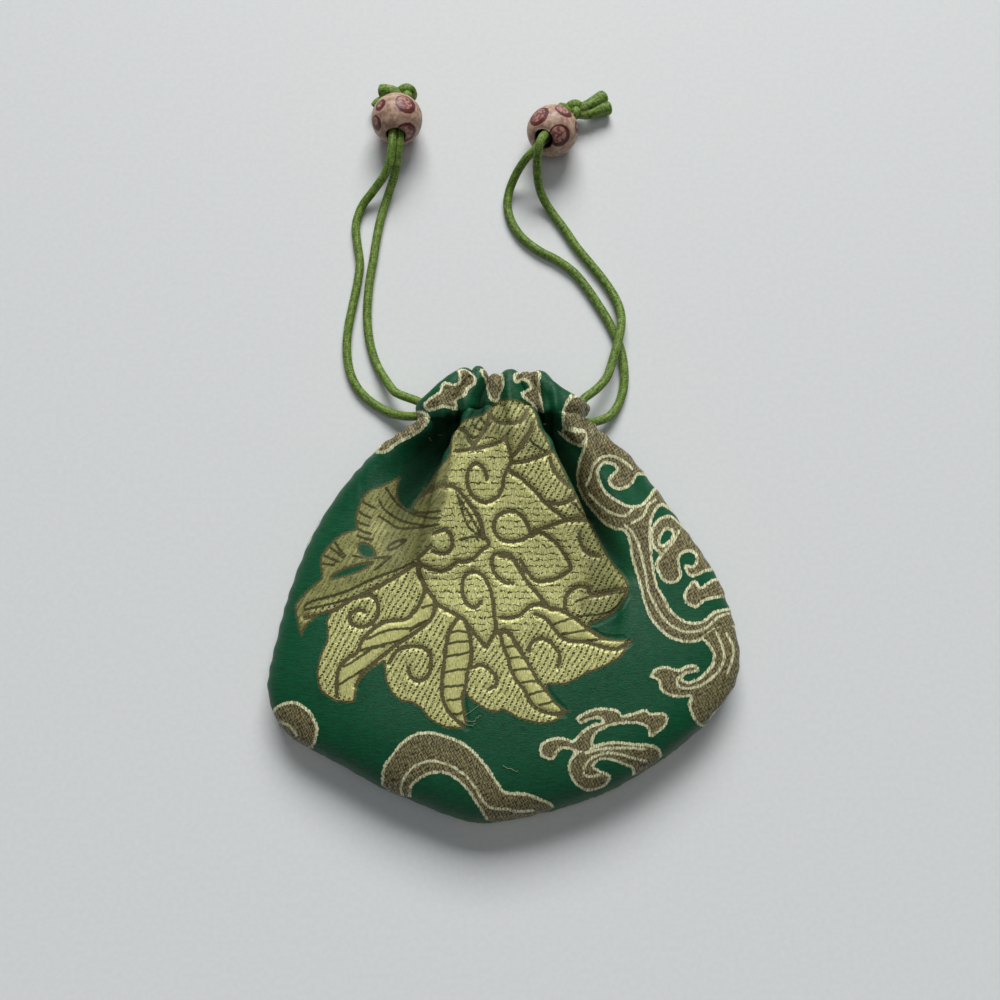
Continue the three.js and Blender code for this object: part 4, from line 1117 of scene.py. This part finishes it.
def dashes(f, pitch):
    """Broken level lines where the gold floats are bound down."""
    height = f.plus(f.plus(f.v, f.sway(0.12, 0.12, 1.0, 7.0)), f.sway(0.6, 0.1, 0.0, 3.0))
    line = f.step(f.off_middle(f.math("DIVIDE", height, pitch)), 0.14, 0.05)
    return f.times(line, f.step(f.woven(0.28, 0.15, 1.0), 0.42, 0.5))


def slanted(f, slant, along, detail):
    """Noise whose grain runs aslant on the flat place."""
    return f.noise_at(f.math("MULTIPLY_ADD", f.v, slant, f.u), f.times(f.v, along), 0.9, detail)


def brocade():
    f = Finish("brocade")
    f.lay_flat()
    grain = f.less(f.woven(0.55, 0.55, 1.0), 0.5)
    tooth = f.times(grain, 1.6)
    bloom = f.plus(f.field("bloom"), tooth)
    cloud = f.plus(f.field("cloud"), tooth)
    stroke = f.plus(f.field("stroke"), f.times(grain, 2.2))

    # Satin ground, with its floats running across the pouch
    fibre = f.woven(0.25, 2.4, 1.0)
    ground = f.tones("ground", f.woven(0.07, 0.9, 3.0), 0.3, 0.7)
    ground = f.mix(f.step(fibre, 0.45, 0.75, 0.0, 0.5), ground, "ground fibre")

    # Gold figure
    ribs = f.woven(1.3, 0.16, 2.0)
    hatched = f.step(f.field("hatched"), -0.5, 0.8)
    middle = f.step(f.field("middle"), -3.0, 3.0)
    olive_shade = f.step(f.field("olive_shade"), -2.0, 5.0)
    plain = f.less(1.0, f.most(hatched, f.times(olive_shade, 0.45)))
    tick = f.times(ticks(f, *GOLD_TICKS), f.less(1.0, middle))
    dark = f.times(f.most(tick, f.times(dashes(f, DASH_PITCH), middle)), plain)
    # Painted glints of light on the gold thread
    painted_glint = f.step(f.woven(0.8, 0.4, 2.0), 0.56, 0.66)
    brown = f.tones("outline", f.woven(1.1, 1.1, 1.0), 0.4, 0.62)
    gold = f.tones("gold", ribs, 0.34, 0.58)
    for share, colour in (
            (f.times(painted_glint, 0.9), "painted_glint"),
            (f.times(hatched, 0.45), "hatched"),
            # Olive parts: their slanted grain, and painted shade
            (f.times(olive_shade, 0.9), f.tones("shaded gold", slanted(f, 0.8, 0.12, 1.0), 0.35, 0.65)),
            # Painted shade where the cloth turns away from the light
            (f.step(f.field("painted_shade"), -3.0, 6.0, 0.0, 0.45), "painted_shade"),
            (f.times(dark, 0.95), "gold gap"),
            (f.times(f.step(f.field("vein"), 1.3, 0.5), 0.9), "vein"),
            (f.step(stroke, 2.1, 1.2), brown),
            (f.step(bloom, 2.3, 1.1), brown)):
        gold = f.mix(share, gold, colour)

    # Cloud figure with its pale rim
    dun = f.tones("cloud", slanted(f, 0.7, 0.3, 2.0), 0.36, 0.64)
    dun = f.mix(f.times(ticks(f, *CLOUD_TICKS), 0.85), dun, "cloud gap")
    rim = f.step(f.plus(f.field("rim"), f.times(grain, 1.2)), 1.15, 0.55)
    edge = f.step(f.math("ABSOLUTE", f.less(cloud, 0.3)), 1.35, 0.75)
    dun = f.mix(f.most(rim, edge), dun, f.tones("cloud rim", ribs, 0.4, 0.56))

    # The whole cloth, with painted shade in its folds and between its gathers, and its gloss
    in_bloom = f.step(bloom, -0.35, 0.35)
    in_cloud = f.step(cloud, -0.95, -0.45)
    colour = f.mix(in_bloom, f.mix(in_cloud, ground, dun), gold)
    colour = f.mix(f.times(f.field("lining"), 0.7), colour, "lining")
    figure = f.most(in_bloom, in_cloud)
    # Painted shade, darkest deep in the folds and between the gathers, lighter on the figure
    fold_shade_mix = f.times(f.step(f.field("hollow"), 0.08, 0.8), f.step(figure, 0, 1, 0.62, 0.4))
    f.set("Base Color", f.mix(fold_shade_mix, colour, "hollow"))
    f.set("Roughness", f.step(f.field("hollow"), 0.05, 0.5, f.step(figure, 0.0, 1.0, 0.42, 0.46), 0.85))
    f.set("Metallic", f.times(in_bloom, 0.2))
    f.set("Specular IOR Level", 0.3)
    height = f.step(figure, 0, 1, fibre, ribs)
    height = f.less(height, f.times(f.step(f.field("stroke"), 5.0, 0.8), 2.6))
    height = f.less(height, f.times(f.times(dark, in_bloom), 0.8))
    f.bump(height, 0.00012, 0.7)
    return f.material


def rattail():
    f = Finish("rattail")
    f.lay_flat()
    wind = f.woven(4.0, 3.4, 3.0)
    colour = f.tones("cord", wind, 0.35, 0.65)
    # Painted sheen in streaks along the cord
    f.set("Base Color", f.mix(f.step(f.woven(14.0, 0.5, 1.0), 0.5, 0.68, 0.0, 0.55), colour, "cord painted sheen"))
    f.set("Roughness", 0.5)
    f.set("Specular IOR Level", 0.35)
    turns = f.math("SINE", f.times(f.math("MULTIPLY_ADD", f.u, 0.5, f.v), 2 * math.pi / CORD_TURN))
    f.bump(f.plus(f.times(turns, 0.18), wind), 0.00008, 0.8)
    return f.material


def painted_wood():
    f = Finish("bead_wood")
    cloudy = f.solid(900.0, 4.0)
    crackle = f.solid(1300.0, 3.0)
    wood = f.tones("wood", cloudy, 0.35, 0.65)
    wood = f.mix(f.step(f.field("disc"), -0.05, 0.05), wood, f.tones("disc", crackle, 0.4, 0.6))
    ring_edge = f.plus(f.field("ring"), f.times(f.less(crackle, 0.5), 0.5))
    wood = f.mix(f.step(ring_edge, -0.05, 0.05), wood, f.tones("ring", cloudy, 0.3, 0.7))
    # The bore painted near black: painted shade inside it
    f.set("Base Color", f.mix(f.step(f.field("bore"), 0.2, 0.8), wood, "bore"))
    f.set("Roughness", f.step(crackle, 0.3, 0.7, 0.4, 0.6))
    f.bump(crackle, 0.00006, 0.5)
    return f.material


def speckled(name, scale, detail, low, high, rough):
    """A plain finish between its two tones."""
    f = Finish(name)
    f.set("Base Color", f.tones(name, f.solid(scale, detail), low, high))
    f.set("Roughness", rough)
    return f.material


def dress(piece, material):
    """Gives a piece its one material."""
    piece.data.materials.clear()
    piece.data.materials.append(material)


# Camera, light and floor. A light has its place and size in metres, its power and its colour
LIGHTS = {
    "window": ((0.34, 4.59, 3.91), (3.9, 2.9), 405.0, (1.0, 0.995, 0.985)),
    "room": ((0.1, -0.4, 2.2), (1.6, 1.6), 6.0, (0.98, 0.99, 1.0)),
}
LIT_PLACE = (0, 0.02, 0)
SKY = (0.86, 0.9, 0.94, 1)
SKY_STRENGTH = 0.1
FLOOR_REACH = 3.0


def look_at(item, target):
    """Turns a camera or a light towards a place."""
    way = Vector(target) - item.location
    item.rotation_euler = way.to_track_quat("-Z", "Y").to_euler()


def add_camera():
    camera = add("camera", bpy.data.cameras.new("camera"))
    camera.data.lens = LENS
    camera.data.sensor_width = SENSOR
    camera.data.clip_start = 0.01
    aim = Vector(AIM) * MM
    back = Vector((0, -math.cos(ELEVATION), math.sin(ELEVATION)))
    camera.location = aim + back * DISTANCE * MM
    look_at(camera, aim)
    bpy.context.scene.camera = camera


def add_light():
    for name, (place, size, power, colour) in LIGHTS.items():
        data = bpy.data.lights.new(name, "AREA")
        data.shape = "RECTANGLE"
        data.size, data.size_y = size
        data.energy = power
        data.color = colour
        lamp = add(name, data)
        lamp.location = place
        look_at(lamp, LIT_PLACE)
    world = bpy.data.worlds.new("room")
    world.use_nodes = True
    sky = world.node_tree.nodes["Background"]
    sky.inputs["Color"].default_value = SKY
    sky.inputs["Strength"].default_value = SKY_STRENGTH
    bpy.context.scene.world = world
    bpy.context.scene.view_settings.view_transform = "Standard"


def add_floor():
    mesh = bpy.data.meshes.new("floor")
    corners = [(x * FLOOR_REACH, y * FLOOR_REACH, 0) for x, y in ((-1, -1), (1, -1), (1, 1), (-1, 1))]
    mesh.from_pydata(corners, [], [(0, 1, 2, 3)])
    floor = add("floor", mesh)
    dress(floor, speckled("floor", scale=900.0, detail=1.0, low=0.2, high=0.8, rough=0.55))


# Cords

def ring_frames(path):
    """Two ways square to the path at each of its points, turning as little as they can."""
    way = np.gradient(path, axis=0)
    way /= np.linalg.norm(way, axis=1, keepdims=True)
    side = np.cross(way[0], (0, 0, 1.0))
    side /= np.linalg.norm(side)
    sides = [side]
    for w in way[1:]:
        side = side - w * (side @ w)
        side /= np.linalg.norm(side)
        sides.append(side)
    sides = np.array(sides)
    return sides, np.cross(way, sides)


def tube(name, path, radius, sides=16, taper=None):
    """A closed round tube along a path. Its UV map holds the turn and the run in millimetres."""
    one, two = ring_frames(path)
    turn = np.arange(sides) * 2 * math.pi / sides
    scale = np.ones(len(path)) if taper is None else taper
    rim = one[:, None] * np.cos(turn)[:, None] + two[:, None] * np.sin(turn)[:, None]
    places = path[:, None] + rim * radius * scale[:, None, None]
    count = len(path)
    faces = hoops(count, sides)
    faces.append(tuple(range(sides))[::-1])
    faces.append(tuple((count - 1) * sides + k for k in range(sides)))
    piece = add_piece(name, places.reshape(-1, 3), faces)
    run = np.concatenate([[0], np.cumsum(np.linalg.norm(np.diff(path, axis=0), axis=1))])
    flat = np.stack(np.broadcast_arrays(np.abs(turn / math.pi - 1)[None, :], run[:, None]), axis=-1)
    store_map(piece, flat.reshape(-1, 2))
    return piece


def loose_yarns(place, way):
    """Short yarn ends lying on the front, each laid on the cloth where it is seen."""
    points, ways = place.reshape(-1, 3), way.reshape(-1, 3)
    seen = to_frame(points)
    for name, line in LOOSE.items():
        run = []
        for spot in even(spline(line, 6), 1.5):
            i = int(np.argmin(((seen - spot) ** 2).sum(axis=1)))
            run.append(points[i] + ways[i] * (CLOTH / 2 + YARN_RELIEF + LOOSE_YARN))
        path = even(spline(run, 4), 0.15)
        yield tube("yarn_" + name.replace(" ", "_"), path, LOOSE_YARN, sides=8)


def add_strands():
    """The four free strands, each from the gathers to its knot."""
    pieces = {}
    for name in STRANDS:
        path = draw_in(even(spline(STRANDS[name], 12), 0.3))
        piece = tube(name + "_cord", path, CORD / 2 * STRAND_FULLNESS)
        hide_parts(name)
        pieces[name] = (piece, path)
    return pieces


def in_casing_path(far, lane):
    """The hidden way of a drawcord round the gathers, out and back at its far end."""
    start = 1 - 2 * CORD_CLEARANCE / NECK_WIDTH
    count = 12
    share = np.arange(count + 1) / count

    def run(side):
        r = ring(far * mix(-start, 1, share), side)
        return np.stack([r["x"], r["y"] - lane, r["z"]], axis=-1)

    end = ring(np.asarray(float(far)), 1)
    turn = (RING_ACROSS * HALF_WIDTH + far * (RING_STRAIGHT + RING_RADIUS), float(end["y"]) - lane,
            RING_HEIGHT)
    return draw_in(even(spline(np.vstack([run(1), [turn], run(-1)[::-1]]), 8), 0.4))


def add_hidden_cords():
    """The stretch of each drawcord inside the hem."""
    for side, far, lane in (("left", 1, 0), ("right", -1, LANE)):
        piece = tube(f"drawcord_{side}_hidden", in_casing_path(far, lane), CORD / 2)
        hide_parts(f"drawcord_{side}_in_casing")
        yield piece


# Beads and knots

def turned_to(way):
    """Three square ways, the last of them along the bore."""
    w = np.array(way, float)
    w /= np.linalg.norm(w)
    a = np.cross((0, 0, 1.0), w)
    a /= np.linalg.norm(a)
    return np.stack([a, np.cross(w, a), w])


# Printed discs: the way to each as seen by the camera (right, up, towards it), and its reach
PRINT = {
    "left": [((0.42, 0.4, 0.81), 0.44), ((-0.6, 0.36, 0.7), 0.26), ((-0.78, -0.3, 0.55), 0.3),
             ((0.42, -0.78, 0.6), 0.46), ((-0.25, 0.3, -0.9), 0.42), ((0.85, 0.1, -0.5), 0.4),
             ((-0.6, -0.6, -0.5), 0.38), ((0.2, -0.5, -0.85), 0.33)],
    "right": [((-0.58, 0.42, 0.7), 0.44), ((0.42, 0.62, 0.62), 0.38), ((0.25, -0.42, 0.87), 0.44),
              ((0.95, 0.05, 0.3), 0.24), ((-0.5, -0.5, -0.7), 0.4), ((0.5, 0.3, -0.8), 0.42),
              ((-0.85, 0.3, -0.4), 0.32), ((0.3, -0.8, -0.5), 0.36)],
}
# Width of a printed ring, and how far its inner edge is shifted, in radians
RING_WIDTH = 0.12
RING_SHIFT = 0.05


def add_bead(side):
    """A turned bead with a drilled bore, printed with rings round crackled discs."""
    segments, rows = 112, 72
    crown = {"at": [-a for a in BEAD_CROWN["along"]], "out": BEAD_CROWN["out"]}
    lengths = np.sin(np.linspace(-math.pi / 2, math.pi / 2, rows))
    out = np.maximum(look_up(crown, "out", lengths) * BEAD_WIDTH / 2, BORE / 2 + BORE_RIM)
    profile = [(BORE / 2, -BEAD_LENGTH / 2 + BORE_LIP)]
    profile += list(zip(out, lengths * BEAD_LENGTH / 2))
    profile += [(BORE / 2, BEAD_LENGTH / 2 - BORE_LIP)]
    profile += [(BORE / 2, (0.5 - k / BORE_STEPS) * (BEAD_LENGTH - BORE_INSET)) for k in range(1, BORE_STEPS)]
    profile = np.array(profile)
    turn = np.arange(segments) * 2 * math.pi / segments
    frame_ways = turned_to(BEADS[side]["bore"])
    local = np.stack(np.broadcast_arrays(
        profile[:, None, 0] * np.cos(turn), profile[:, None, 0] * np.sin(turn), profile[:, None, 1]), axis=-1)
    places = local.reshape(-1, 3) @ frame_ways + np.array(BEADS[side]["place"])
    count = len(profile)
    piece = add_piece(f"bead_{side}_printed", places, hoops(count, segments, closed=True))
    way = places - np.array(BEADS[side]["place"])
    way /= np.linalg.norm(way, axis=1, keepdims=True)
    disc = np.full(len(way), -1.0)
    line = np.full(len(way), -1.0)
    seen = np.array([(1, 0, 0), (0, math.sin(ELEVATION), math.cos(ELEVATION)),
                     (0, -math.cos(ELEVATION), math.sin(ELEVATION))])
    for towards, reach in PRINT[side]:
        centre = np.array(towards) @ seen
        inner = centre + np.array((-RING_SHIFT, RING_SHIFT, 0)) @ seen
        outside, inside = (np.arccos(np.clip(way @ (c / np.linalg.norm(c)), -1, 1)) for c in (centre, inner))
        disc = np.maximum(disc, (reach - outside) * 3)
        line = np.maximum(line, np.minimum(reach - outside, inside - reach + RING_WIDTH) * 6)
    store(piece, "disc", disc)
    store(piece, "ring", line)
    # Rows inside the bore, which take painted shade
    bore_shade = np.zeros((count, segments))
    bore_shade[rows + 2:] = 1
    store(piece, "bore", bore_shade)
    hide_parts(f"bead_{side}")
    return piece


def add_knot(side):
    """An overhand knot drawn tight, with its two cut ends."""
    place = np.array(KNOTS[side], float)
    t = np.linspace(0, 2 * math.pi, 160, endpoint=False)
    loop = np.stack([(np.sin(t) + 2 * np.sin(2 * t)) / 3 * KNOT_SPREAD[0],
                     (np.cos(t) - 2 * np.cos(2 * t)) / 3 * KNOT_SPREAD[1],
                     -np.sin(3 * t) * KNOT_SPREAD[2]], axis=-1)
    sides = 14
    path = np.vstack([loop, loop[:1]]) + place
    pieces = [tube(f"knot_{side}_lump", path, KNOT_CORD, sides)]
    for i, tail in enumerate(KNOT_ENDS[side]):
        run = even(spline([np.add(place, point) for point in ((0, 0, 0), *tail)], 10), 0.25)
        share = np.linspace(0, 1, len(run))
        flare = 1 + TAIL_FLARE * smoothstep(share, 0.3, 0.92) - TAIL_TIP * smoothstep(share, 0.96, 1)
        pieces.append(tube(f"knot_{side}_end_{i}", run, KNOT_CORD, sides, flare))
    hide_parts(f"knot_{side}")
    return pieces


# Making of the scene

add_camera()
strands = add_strands()
cord_finish = rattail()
cloth_finish = brocade()
bead_finish = painted_wood()

beads, knots = {}, {}
for side in ("left", "right"):
    beads[side] = add_bead(side)
    dress(beads[side], bead_finish)
    knots[side] = add_knot(side)
    for piece in knots[side]:
        dress(piece, cord_finish)
for name, (piece, path) in strands.items():
    dress(piece, cord_finish)
    side = name.split("_")[1]
    run = float(np.linalg.norm(np.diff(path, axis=0), axis=1).sum())
    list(knots[side])
for piece in add_hidden_cords():
    dress(piece, cord_finish)

front = panel("front_cloth", 1, *FRONT_GRID)
back = panel("back_cloth", -1, *BACK_GRID)
for piece, node in ((front, "front_panel"), (back, "back_panel")):
    dress(piece, cloth_finish)
    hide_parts(node)
yarns = list(loose_yarns(*cloth_faces(1, *FRONT_GRID)[:2]))
yarn_finish = speckled("loose_yarn", scale=4000.0, detail=2.0, low=0.35, high=0.65, rough=0.6)
for piece in yarns:
    dress(piece, yarn_finish)

add_floor()
add_light()
